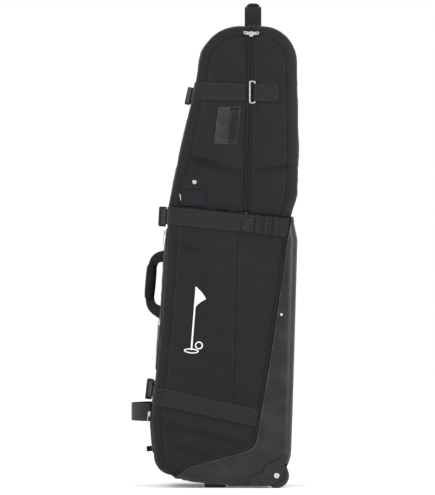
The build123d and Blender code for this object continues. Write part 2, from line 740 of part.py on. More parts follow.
def hood_slider():
    """Parked at the top of the hood's side wall, with both pulls spread."""
    frame = side_frame(zip_x(HOOD_SLIDER_Z), HOOD_SLIDER_Z, BAND_INNER + 2.0)
    lean = degrees(atan((ZIP_HEAD[0] - ZIP_FOOT[0]) / (ZIP_HEAD[1] - ZIP_FOOT[1])))
    return [frame * Rot(0, 0, -lean) * solid for solid in slider((10, 170), HOOD_PULL_LENGTH)]


def pocket_slider(z, pull_angle):
    frame = front_frame(LOWER_OUTLINE, z, POCKET_SLIDER_LIFT)
    solids = slider((pull_angle,), POCKET_PULL_LENGTH)
    return [frame * Pos(-POCKET_ZIP_Y, 0, 0) * solid for solid in solids]


# ---------------------------------------------------------------- writing the parts
def build():
    """Every node of the case: its name and its solid, or its list of solids."""
    pockets = wheel_pockets()
    gusset, left_panel, right_panel = lower_fabric(pockets)
    hood_back, hood_front = hood_shells(0.0, -FABRIC)
    liner_back, liner_front = hood_shells(FOAM_OUTER, FOAM_INNER)
    parts = {
        "lower_gusset": gusset,
        "lower_panel_left": left_panel,
        "lower_panel_right": right_panel,
        "lower_foam_liner": lower_liner(pockets),
        "base_board": base_board(pockets),
        "inner_strap": inner_strap(),
        "back_shell": back_shell(pockets),
        "shell_binding": shell_binding(pockets),
        "shell_rivets": shell_rivets(),
        "skid_foot": skid_foot(),
        "skid_plate": skid_plate(),
        "chassis_screws": chassis_screws(),
        "axle_bolts": both_sides(axle_bolt()),
        "axle_nuts": both_sides(axle_nut()),
        "axle_spacers": both_sides(axle_spacer()),
        "front_pocket_upper": pocket_panel(330, 724),
        "front_pocket_lower": pocket_panel(96, 222),
        "pocket_zip_chain": pocket_zip_chain(),
        "mid_strap": mid_strap(),
        "lower_strap": lower_strap(),
        "upper_strap_front": upper_strap_front(),
        "upper_strap_back": upper_strap_back(),
        "strap_rings": both_sides(strap_ring()),
        "hood_back_panel": hood_back,
        "hood_back_liner": liner_back,
        "hood_front_panel": hood_front,
        "hood_front_liner": liner_front,
        "hood_zip_back": hood_zip_half(0.6, ZIP_TAPE),
        "hood_zip_front": hood_zip_half(-ZIP_TAPE, -0.6),
        "id_pocket": id_pocket(),
        "id_window": id_window(),
        "id_flap": id_flap(),
        "id_snap_cap": id_snap_cap(),
        "label_patch": label_patch(),
        "flag_motif": flag_motif(),
        "top_handle_webbing": top_handle_webbing(),
        "top_handle_grip": top_handle_grip(),
        "carry_handle_webbing": carry_webbing(),
        "carry_handle_grip": carry_grip(),
        "grab_loop": grab_loop(),
        "bottom_tab": bottom_tab(),
        "pocket_slider_upper": pocket_slider(712, -90),
        "pocket_slider_middle": pocket_slider(460, -90),
        "pocket_slider_lower": pocket_slider(206, -90),
    }
    for name, make in (("wheel_housing", wheel_housing), ("tyre", tyre), ("hub", hub)):
        parts[name + "_left"], parts[name + "_right"] = both_sides(make())
    parts["bearings_left"] = bearings()
    parts["bearings_right"] = [mirror(ring, about=Plane.XZ) for ring in parts["bearings_left"]]
    parts["hood_slider_left"] = hood_slider()
    parts["hood_slider_right"] = [mirror(half, about=Plane.XZ) for half in parts["hood_slider_left"]]
    for name, corners, size in (
        ("upper_buckle", HOOD_OUTLINE, UPPER_BUCKLE),
        ("mid_buckle", LOWER_OUTLINE, MID_BUCKLE),
        ("lower_buckle", LOWER_OUTLINE, LOWER_BUCKLE),
    ):
        parts[name + "_socket"], parts[name + "_plug"] = buckle(corners, size)
    return parts


def main():
    os.makedirs("parts", exist_ok=True)
    for name, part in build().items():
        members = part if isinstance(part, (list, tuple)) else [part]
        solids = [solid for member in members for solid in member.solids()]
        shape = solids[0] if len(solids) == 1 else Compound(children=solids)
        export_step(shape, os.path.join("parts", name + ".step"))


main()
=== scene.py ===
"""Looks of the wheeled golf travel case: cloth, webbing, zips, plastics, light and camera.

Metres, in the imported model's frame: +Z up, -X the front, +X the back with the wheels, -Y the left side.
"""

import json
import math

import bmesh
import bpy
import numpy as np
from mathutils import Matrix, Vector, kdtree, noise
from mathutils.bvhtree import BVHTree


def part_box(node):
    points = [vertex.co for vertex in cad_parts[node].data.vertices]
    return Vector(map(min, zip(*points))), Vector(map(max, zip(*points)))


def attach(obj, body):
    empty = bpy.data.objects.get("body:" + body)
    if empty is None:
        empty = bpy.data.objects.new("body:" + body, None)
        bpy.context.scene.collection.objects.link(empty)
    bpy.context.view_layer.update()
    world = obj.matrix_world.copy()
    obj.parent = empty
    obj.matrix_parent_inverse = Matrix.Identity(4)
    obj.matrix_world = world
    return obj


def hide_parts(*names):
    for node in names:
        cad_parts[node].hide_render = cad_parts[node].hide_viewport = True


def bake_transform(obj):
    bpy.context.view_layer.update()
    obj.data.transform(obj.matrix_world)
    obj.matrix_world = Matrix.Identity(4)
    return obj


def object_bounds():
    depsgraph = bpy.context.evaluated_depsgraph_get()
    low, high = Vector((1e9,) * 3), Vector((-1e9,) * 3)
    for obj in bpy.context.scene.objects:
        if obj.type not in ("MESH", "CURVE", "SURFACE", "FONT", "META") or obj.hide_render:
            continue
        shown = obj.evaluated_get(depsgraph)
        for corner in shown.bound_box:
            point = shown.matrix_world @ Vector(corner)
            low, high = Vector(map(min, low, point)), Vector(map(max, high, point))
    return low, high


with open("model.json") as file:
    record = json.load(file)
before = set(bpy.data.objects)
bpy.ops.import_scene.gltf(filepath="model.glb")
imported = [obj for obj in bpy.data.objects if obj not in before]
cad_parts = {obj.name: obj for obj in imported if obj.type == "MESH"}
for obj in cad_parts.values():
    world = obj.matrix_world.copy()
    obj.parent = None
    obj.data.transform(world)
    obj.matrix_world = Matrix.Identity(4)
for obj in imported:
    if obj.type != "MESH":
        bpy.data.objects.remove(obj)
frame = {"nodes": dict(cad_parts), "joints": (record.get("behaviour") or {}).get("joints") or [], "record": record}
CAD_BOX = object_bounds()
noise.seed_set(1)  # fixes the cloth's warp, which else differs from run to run

# ---------------------------------------------------------------- sizes
MM = 0.001
CORNER = 28 * MM  # rounding between the side panels and the gusset
GRID = 6 * MM  # spacing of the cloth grids
RAYS = 900
WALL_STEPS = 44
CORNER_STEPS = 8
GUSSET_STEPS = 44
CLOTH = 3 * MM
LINING = 5 * MM
LINING_DEPTH = 3.4 * MM
WEB = 2.2 * MM
WEB_WIDTH = 50 * MM
BAND_LIFT = 1.5 * MM  # middle of a sewn band, off the cloth
BUCKLE_GAP = 20 * MM
TOOTH_PITCH = 2.6 * MM
OPEN_END = 170 * MM  # a block's outline is carried this far past the waist, then cut there
VIEW_MARGIN = 1.0217  # height of the picture over the height of the case
# Seams and folds of the side panels, from end to end. An end is so many mm behind and above the front of
# the waist; a crease then has its depth and its width.
SIDE_SEAM = ((183.5, -562), (196, -75))
HOOD_CREASES = (
    ((45.5, 133), (220.5, 81), 8.0 * MM, 8 * MM),
    ((238.5, 89), (362.5, 109), 7.0 * MM, 8 * MM),
    ((80.5, 413), (200.5, 383), 2.0 * MM, 12 * MM),
    ((255.5, 428), (335.5, 403), 2.2 * MM, 11 * MM),
)
LOWER_CREASES = (
    ((0.5, -115), (180.5, -147), 4.0 * MM, 11 * MM),
    ((-9.5, -392), (150.5, -442), 2.4 * MM, 12 * MM),
    ((0.5, -457), (160.5, -502), 2.4 * MM, 11 * MM),
    ((-24.5, -612), (220.5, -672), 5.2 * MM, 9 * MM),
    ((-19.5, -672), (130.5, -707), 2.4 * MM, 9 * MM),
    ((210.5, -187), (315.5, -227), 2.2 * MM, 11 * MM),
)
KEEPERS = ((25, 36), (49, 60), (73, 90))  # front and back edge, in mm behind the zip's foot
ZIP_END_PATCH = (-12, 18)
X, Y, Z = Vector((1, 0, 0)), Vector((0, 1, 0)), Vector((0, 0, 1))


# ---------------------------------------------------------------- reading the frame
def tree(*names):
    """One search tree over the surfaces of several CAD nodes."""
    points, polygons = [], []
    for name in names:
        mesh = frame["nodes"][name].data
        base = len(points)
        points += [vertex.co.copy() for vertex in mesh.vertices]
        polygons += [[base + i for i in polygon.vertices] for polygon in mesh.polygons]
    return BVHTree.FromPolygons(points, polygons)


def node_points(name):
    mesh = frame["nodes"][name].data
    points = np.zeros(len(mesh.vertices) * 3)
    mesh.vertices.foreach_get("co", points)
    return points.reshape(-1, 3)


def box_middle(name):
    low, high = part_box(name)
    return (low + high) / 2


def joint(name):
    return next(j for j in frame["joints"] if j["name"] == name)


WAIST_FRONT = Vector(joint("hood_opening")["pos_m"])
HOOD_LOW = min(node_points("hood_back_panel").tolist(), key=lambda point: point[2])
WAIST_SLOPE = (HOOD_LOW[2] - WAIST_FRONT.z) / (HOOD_LOW[0] - WAIST_FRONT.x)
ZIP_DOWN = Vector(joint("hood_zip_left_travel")["axis"])
ZIP_MIDDLE = box_middle("hood_slider_left")
HOOD_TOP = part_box("hood_back_panel")[1].z


def waist_z(x):
    return WAIST_FRONT.z + (x - WAIST_FRONT.x) * WAIST_SLOPE


def zip_x(z):
    return ZIP_MIDDLE.x + (z - ZIP_MIDDLE.z) * ZIP_DOWN.x / ZIP_DOWN.z


ZIP_FOOT = Vector((zip_x(waist_z(ZIP_MIDDLE.x)), waist_z(ZIP_MIDDLE.x)))


def from_waist(end):
    """The side-view point, as (x, z), that lies so many mm behind and above the front of the waist."""
    behind, above = end
    return Vector((WAIST_FRONT.x + behind * MM, WAIST_FRONT.z + above * MM))


# ---------------------------------------------------------------- materials
class Shader:
    """One node material, built up from its principled shader."""

    def __init__(self, name, colour, roughness, **values):
        self.material = bpy.data.materials.new(name)
        self.material.use_nodes = True
        self.nodes = self.material.node_tree.nodes
        self.links = self.material.node_tree.links
        self.base = self.nodes["Principled BSDF"]
        self.base.inputs["Base Color"].default_value = (*colour, 1)
        self.base.inputs["Roughness"].default_value = roughness
        for key, value in values.items():
            self.base.inputs[key.replace("_", " ")].default_value = value

    def node(self, kind, inputs=None, **settings):
        made = self.nodes.new("ShaderNode" + kind)
        for key, value in settings.items():
            setattr(made, key, value)
        for key, value in (inputs or {}).items():
            if isinstance(value, bpy.types.NodeSocket):
                self.links.new(value, made.inputs[key])
            else:
                made.inputs[key].default_value = value
        return made

    def math(self, operation, first, second=0.0):
        return self.node("Math", {0: first, 1: second}, operation=operation).outputs[0]

    def object_place(self):
        return self.node("TexCoord").outputs["Object"]

    def noise(self, scale, detail=3.0, place=None):
        inputs = {"Vector": place or self.object_place(), "Scale": scale, "Detail": detail}
        return self.node("TexNoise", inputs).outputs[0]

    def blend(self, share, first, second):
        mixed = self.node("Mix", {0: share, 6: (*first, 1), 7: (*second, 1)}, data_type="RGBA")
        return mixed.outputs[2]

    def spread(self, value, low, high):
        """Stretches the middle of a noise to the range 0 to 1."""
        inputs = {"Value": value, "From Min": low, "From Max": high}
        return self.node("MapRange", inputs).outputs[0]

    def colour(self, share, first, second):
        self.links.new(self.blend(share, first, second), self.base.inputs["Base Color"])

    def roughness(self, share, low, high):
        span = self.math("MULTIPLY", share, high - low)
        self.links.new(self.math("ADD", span, low), self.base.inputs["Roughness"])

    def bump(self, height, distance, strength=1.0, round_edges=0.0):
        inputs = {"Height": height, "Distance": distance, "Strength": strength}
        if round_edges:
            inputs["Normal"] = self.node("Bevel", {"Radius": round_edges}, samples=4).outputs[0]
        made = self.node("Bump", inputs)
        self.links.new(made.outputs[0], self.base.inputs["Normal"])

    def weave(self, period, across=1.0):
        """Height of a plain weave in the piece's own flat coordinates."""
        parts = self.node("SeparateXYZ", {0: self.node("UVMap").outputs[0]})
        turn = 2 * math.pi / period
        along = self.math("SINE", self.math("MULTIPLY", parts.outputs[0], turn))
        over = self.math("SINE", self.math("MULTIPLY", parts.outputs[1], turn * across))
        return self.math("MULTIPLY", along, over)

    def chevron(self, period, slant):
        """Height of herringbone ribs along a band."""
        parts = self.node("SeparateXYZ", {0: self.node("UVMap").outputs[0]})
        zigzag = self.math("PINGPONG", parts.outputs[1], slant)
        place = self.math("ADD", parts.outputs[0], zigzag)
        return self.math("SINE", self.math("MULTIPLY", place, 2 * math.pi / period))


def cloth_material(name, dark, light, period=1.3 * MM, sheen=0.05, roughness=0.58):
    """Coated woven polyester: fine plain weave, faint mottling and a soft sheen."""
    shader = Shader(name, light, roughness, Sheen_Weight=sheen, Sheen_Roughness=0.4,
                    Specular_IOR_Level=0.14)
    weave = shader.weave(period)
    mottle = shader.spread(shader.noise(14.0, 6.0), 0.3, 0.7)
    threads = shader.math("MULTIPLY", shader.math("ADD", weave, 1.0), 0.3)
    share = shader.math("ADD", threads, shader.math("MULTIPLY", mottle, 0.4))
    shader.colour(share, dark, light)
    shader.roughness(mottle, roughness - 0.07, roughness + 0.08)
    shader.bump(weave, 0.16 * MM, 0.7)
    return shader.material


def webbing_material(name, dark, light, roughness=0.5):
    """Polyester webbing with herringbone ribs."""
    shader = Shader(name, light, roughness, Sheen_Weight=0.02, Specular_IOR_Level=0.16)
    ribs = shader.chevron(2.4 * MM, 6.25 * MM)
    wear = shader.spread(shader.noise(40.0, 5.0), 0.35, 0.7)
    share = shader.math("ADD", shader.math("MULTIPLY", shader.math("ADD", ribs, 1.0), 0.35),
                        shader.math("MULTIPLY", wear, 0.3))
    shader.colour(share, dark, light)
    shader.roughness(wear, roughness - 0.08, roughness + 0.12)
    shader.bump(ribs, 0.22 * MM, 0.8)
    return shader.material


def plastic_material(name, dark, light, roughness, grain=900.0, depth=0.06 * MM, edge=0.8 * MM):
    """Moulded plastic: fine pebble grain, rounded edges, slight scuffing."""
    shader = Shader(name, light, roughness, Specular_IOR_Level=0.28)
    pebble = shader.noise(grain, 2.0)
    scuff = shader.spread(shader.noise(22.0, 8.0), 0.42, 0.72)
    shader.colour(scuff, dark, light)
    shader.roughness(scuff, roughness - 0.05, roughness + 0.1)
    shader.bump(pebble, depth, 0.8, edge)
    return shader.material


def metal_material(name, colour, roughness):
    """Plated metal with fine scratches."""
    shader = Shader(name, colour, roughness, Metallic=1.0)
    scratches = shader.noise(260.0, 6.0)
    worn = tuple(0.75 * part for part in colour)
    shader.colour(shader.spread(scratches, 0.3, 0.7), worn, colour)
    shader.roughness(scratches, roughness - 0.06, roughness + 0.12)
    shader.bump(scratches, 0.02 * MM, 0.4, 0.4 * MM)
    return shader.material


def window_material(name):
    """Clear vinyl: glossy, slightly rippled and see-through."""
    shader = Shader(name, (0.006, 0.007, 0.012), 0.08, Alpha=0.6, Specular_IOR_Level=0.4)
    ripple = shader.noise(55.0, 2.0)
    shader.roughness(ripple, 0.05, 0.2)
    shader.bump(ripple, 0.5 * MM, 0.5, 0.4 * MM)
    return shader.material


def thread_material(name, dark, light):
    """Satin stitch: fine parallel threads that catch the light."""
    shader = Shader(name, light, 0.45, Sheen_Weight=0.3)
    parts = shader.node("SeparateXYZ", {0: shader.object_place()})
    slanted = shader.math("ADD", parts.outputs[0], shader.math("MULTIPLY", parts.outputs[2], 0.35))
    threads = shader.math("SINE", shader.math("MULTIPLY", slanted, 2 * math.pi / (0.7 * MM)))
    shader.colour(shader.math("MULTIPLY", shader.math("ADD", threads, 1.0), 0.5), dark, light)
    shader.roughness(shader.noise(300.0), 0.35, 0.6)
    shader.bump(threads, 0.18 * MM, 0.8)
    return shader.material


RECIPES = {  # slot: how it is made, its dark and its light colour, and what that maker takes next
    "body_cloth": (cloth_material, (0.0045, 0.0042, 0.0046), (0.0132, 0.0125, 0.0137)),
    "foam_lining": (cloth_material, (0.03, 0.03, 0.033), (0.07, 0.07, 0.076), 2.2 * MM, 0.2, 0.85),
    "grip_foam": (cloth_material, (0.003, 0.003, 0.0033), (0.009, 0.009, 0.0095), 1.8 * MM, 0.04, 0.7),
    "webbing": (webbing_material, (0.0045, 0.0047, 0.0045), (0.0135, 0.0141, 0.0136)),
    "shell_plastic": (plastic_material, (0.0095, 0.0088, 0.0095), (0.017, 0.0157, 0.017), 0.36,
                      520.0, 0.16 * MM, 1.6 * MM),
    "housing_plastic": (plastic_material, (0.0095, 0.0088, 0.0095), (0.017, 0.0157, 0.017), 0.36),
    "skid_plastic": (plastic_material, (0.025,) * 3, (0.07,) * 3, 0.5, 300.0),
    "buckle_plastic": (plastic_material, (0.0025, 0.0025, 0.0027), (0.006, 0.006, 0.0065), 0.24),
    "tyre_polymer": (plastic_material, (0.01,) * 3, (0.02, 0.02, 0.0195), 0.6, 700.0),
    "hub_plastic": (plastic_material, (0.02, 0.02, 0.021), (0.035, 0.035, 0.037), 0.4),
    "zip_coil": (plastic_material, (0.004,) * 3, (0.009,) * 3, 0.35),
    "board": (plastic_material, (0.08,) * 3, (0.12,) * 3, 0.7),
    "label": (plastic_material, (0.017, 0.018, 0.014), (0.03, 0.031, 0.026), 0.22, 300.0),
    "label_dark": (plastic_material, (0.004,) * 3, (0.008,) * 3, 0.3, 300.0),
    "vinyl": (plastic_material, (0.006, 0.006, 0.0065), (0.013, 0.013, 0.0145), 0.2, 160.0),
    "steel": (metal_material, (0.62, 0.62, 0.63), 0.32),
    "nickel": (metal_material, (0.6, 0.6, 0.61), 0.22),
    "window": (window_material,),
    "thread": (thread_material, (0.6,) * 3, (0.9,) * 3),
    "dark_thread": (thread_material, (0.006, 0.006, 0.0063), (0.026, 0.026, 0.027)),
}
MATERIALS = {slot: maker(slot, *values) for slot, (maker, *values) in RECIPES.items()}


def dress_cad_nodes():
    """Gives every CAD node the material that its record names."""
    for part in frame["record"]["subparts"]:
        mesh = frame["nodes"][part["node"]].data
        mesh.materials.clear()
        mesh.materials.append(MATERIALS[part["material_slot"]])


# ---------------------------------------------------------------- making pieces
def box_uv(mesh):
    """Maps each face flat, along the axis that it faces most, in metres."""
    layer = mesh.uv_layers.new(name="flat")
    points = np.zeros(len(mesh.vertices) * 3)
    mesh.vertices.foreach_get("co", points)
    points = points.reshape(-1, 3)
    corners = np.zeros(len(mesh.loops), dtype=np.int64)
    mesh.loops.foreach_get("vertex_index", corners)
    facing = np.array([max(range(3), key=lambda axis: abs(p.normal[axis])) for p in mesh.polygons])
    sizes = np.array([p.loop_total for p in mesh.polygons])
    facing = np.repeat(facing, sizes)
    place = points[corners]
    first = np.where(facing == 0, place[:, 1], place[:, 0])
    second = np.where(facing == 2, place[:, 1], place[:, 2])
    layer.data.foreach_set("uv", np.stack([first, second], 1).ravel())


def finish_piece(name, mesh, body, slot, replaces=(), material=None, smooth=True):
    """Makes an object of a mesh, with its material, and hands it to its body."""
    piece = bpy.data.objects.new(name, mesh)
    bpy.context.scene.collection.objects.link(piece)
    mesh.materials.clear()
    mesh.materials.append(MATERIALS[material or slot])
    mesh.polygons.foreach_set("use_smooth", [smooth] * len(mesh.polygons))
    if not mesh.uv_layers:
        box_uv(mesh)
    if body:
        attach(piece, body)
    if replaces:
        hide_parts(*replaces)
    return piece


def thicken(piece, thickness):
    """Gives a sheet its thickness, inwards."""
    sheet = piece.modifiers.new("sheet", "SOLIDIFY")
    sheet.thickness = thickness
    sheet.offset = -1


def mesh_of(name, points, faces, uv=None):
    mesh = bpy.data.meshes.new(name)
    mesh.from_pydata([tuple(point) for point in points], [], faces)
    if uv is not None:
        layer = mesh.uv_layers.new(name="flat")
        for loop in mesh.loops:
            layer.data[loop.index].uv = uv[loop.vertex_index]
    mesh.update()
    return mesh


def loft(rings):
    """Faces over rings of points, closed round each ring and capped at both ends."""
    count = len(rings[0])
    faces = []
    for ring in range(len(rings) - 1):
        for step in range(count):
            after = (step + 1) % count
            first, second = ring * count, (ring + 1) * count
            faces.append((first + step, first + after, second + after, second + step))
    last = (len(rings) - 1) * count
    faces.append(tuple(reversed(range(count))))
    faces.append(tuple(range(last, last + count)))
    return [point for ring in rings for point in ring], faces


def turns(count):
    """Angles all the way round, in even steps."""
    return [2 * math.pi * step / count for step in range(count)]


def bead(middle, ahead, side, lift, stations, sides):
    """Points and faces of a small rounded bar, a ring at each (way ahead, rise, half width, half height)."""
    return loft([
        [middle + ahead * way + side * math.cos(turn) * wide + lift * (rise + math.sin(turn) * high)
         for turn in turns(sides)]
        for way, rise, wide, high in stations
    ])


class Pile:
    """Gathers many small shapes into one mesh."""

    def __init__(self):
        self.points, self.faces = [], []

    def add(self, points, faces):
        base = len(self.points)
        self.points += points
        self.faces += [tuple(base + i for i in face) for face in faces]


def tangents(points):
    ends = [points[0]] + list(points) + [points[-1]]
    return [(after - before).normalized() for before, after in zip(ends, ends[2:])]


def resample(points, step):
    """The same path with even steps."""
    lengths = [0.0]
    for before, after in zip(points, points[1:]):
        lengths.append(lengths[-1] + (after - before).length)
    count = max(2, round(lengths[-1] / step) + 1)
    places = np.linspace(0, lengths[-1], count)
    columns = [np.interp(places, lengths, [point[axis] for point in points]) for axis in range(3)]
    return [Vector(row) for row in zip(*columns)]


def rounded(corners, reach):
    """A path through corners, each one turned in a short curve."""
    path = [corners[0]]
    for before, corner, after in zip(corners, corners[1:], corners[2:]):
        start = corner + (before - corner).normalized() * min(reach, (before - corner).length / 2)
        end = corner + (after - corner).normalized() * min(reach, (after - corner).length / 2)
        for share in np.linspace(0, 1, 12):
            path.append(start.lerp(corner, share).lerp(corner.lerp(end, share), share))
    path.append(corners[-1])
    return path


def band_profile(width, thickness, columns=7):
    """Section of a flat band with rounded selvedges, as (across, out) pairs."""
    flat = width / 2 - thickness / 2
    row = np.linspace(-flat, flat, columns)
    top = [(across, thickness / 2) for across in row]
    bottom = [(across, -thickness / 2) for across in reversed(row)]
    bulge = thickness * 0.36
    right = [(flat + bulge, bulge), (width / 2, 0), (flat + bulge, -bulge)]
    left = [(-across, -out) for across, out in right]
    return top + right + bottom + left


def swept(name, points, across, profiles):
    """Mesh of a section carried along a path; across gives the width's direction at each point."""
    rings, uv = [], []
    travelled = 0.0
    for index, (point, along) in enumerate(zip(points, tangents(points))):
        if index:
            travelled += (point - points[index - 1]).length
        side = across[index] if isinstance(across, list) else across
        out = along.cross(side).normalized()
        side = out.cross(along).normalized()
        profile = profiles[index] if isinstance(profiles[0], list) else profiles
        rings.append([point + side * u + out * v for u, v in profile])
        uv += [(travelled, u) for u, _ in profile]
    vertices, faces = loft(rings)
    return mesh_of(name, vertices, faces, uv)


def ribbon(name, points, across, body, slot="webbing", replaces=(), width=WEB_WIDTH, thickness=WEB):
    mesh = swept(name, points, across, band_profile(width, thickness))
    return finish_piece(name, mesh, body, slot, replaces)


def tube(name, points, radius, body, slot):
    """A round cord along a path."""
    profile = [(radius * math.sin(turn), radius * math.cos(turn)) for turn in turns(8)]
    across = [along.cross(Y if abs(along.y) < 0.7 else X).normalized() for along in tangents(points)]
    return finish_piece(name, swept(name, points, across, profile), body, slot)


class Stitching(Pile):
    """Collects the stitches of one body and makes one piece of them."""

    length, gap, radius = 3.4 * MM, 1.6 * MM, 0.42 * MM

    def __init__(self, body):
        super().__init__()
        self.body = body

    def run(self, path, lift):
        """Stitches along a path; lift is the direction out of the cloth."""
        half, radius = self.length / 2, self.radius
        end, inner = (0.2 * radius, 0.45 * radius, 0.45 * radius), (1.2 * radius, radius, radius)
        stations = [(-half, *end), (-half / 2, *inner), (half / 2, *inner), (half, *end)]
        dense = resample(path, (self.length + self.gap) / 2)
        for before, after in zip(dense[0::2], dense[1::2]):
            along = (after - before).normalized()
            side = along.cross(lift).normalized()
            self.add(*bead((before + after) / 2, along, side, lift, stations, 5))

    def loop(self, corners, lift):
        for start, end in zip(corners, corners[1:] + corners[:1]):
            self.run([start, end], lift)

    def box_and_cross(self, middle, along, across, lift, length, width):
        """The square with a cross that fastens webbing."""
        corners = [middle + along * a * length / 2 + across * b * width / 2
                   for a, b in ((-1, -1), (1, -1), (1, 1), (-1, 1))]
        self.loop(corners, lift)
        self.run([corners[0], corners[2]], lift)
        self.run([corners[1], corners[3]], lift)

    def make(self):
        name = "stitching_" + self.body
        mesh = mesh_of(name, self.points, self.faces)
        return finish_piece(name, mesh, self.body, "thread", material="dark_thread")


STITCHES = {body: Stitching(body) for body in ("bag", "hood_front", "card_flap")}


# ---------------------------------------------------------------- the padded blocks
def side_outline(nodes, middle):
    """Side outline from rays cast inwards at the centre plane, closed across its open end."""
    hull = tree(*nodes)
    hits = []
    for step in range(RAYS):
        turn = 2 * math.pi * step / RAYS
        out = Vector((math.cos(turn), 0, math.sin(turn)))
        hit = hull.ray_cast(middle + out * 1.5, -out)[0]
        if hit is not None and (hit - middle).dot(out) > 0.05:
            hits.append(hit)
    gaps = [(after - before).length for before, after in zip(hits, hits[1:] + hits[:1])]
    opening = gaps.index(max(gaps)) + 1
    path = (hits[opening:] + hits[:opening])[3:-3]
    first = path[0] + (path[0] - path[8]).normalized() * OPEN_END
    last = path[-1] + (path[-1] - path[-9]).normalized() * OPEN_END
    closing = []
    for start, corner, end in ((path[-1], last, (last + first) / 2), ((last + first) / 2, first, path[0])):
        closing += [start.lerp(corner, share).lerp(corner.lerp(end, share), share)
                    for share in np.linspace(0, 1, 24)]
    path = resample(path + closing, GRID)[:-1]
    return np.array([(point.x, point.z) for point in path])


def search_tree(points):
    """Finds the points that lie nearest to a place."""
    found = kdtree.KDTree(len(points))
    for index, point in enumerate(points):
        found.insert(point, index)
    found.balance()
    return found


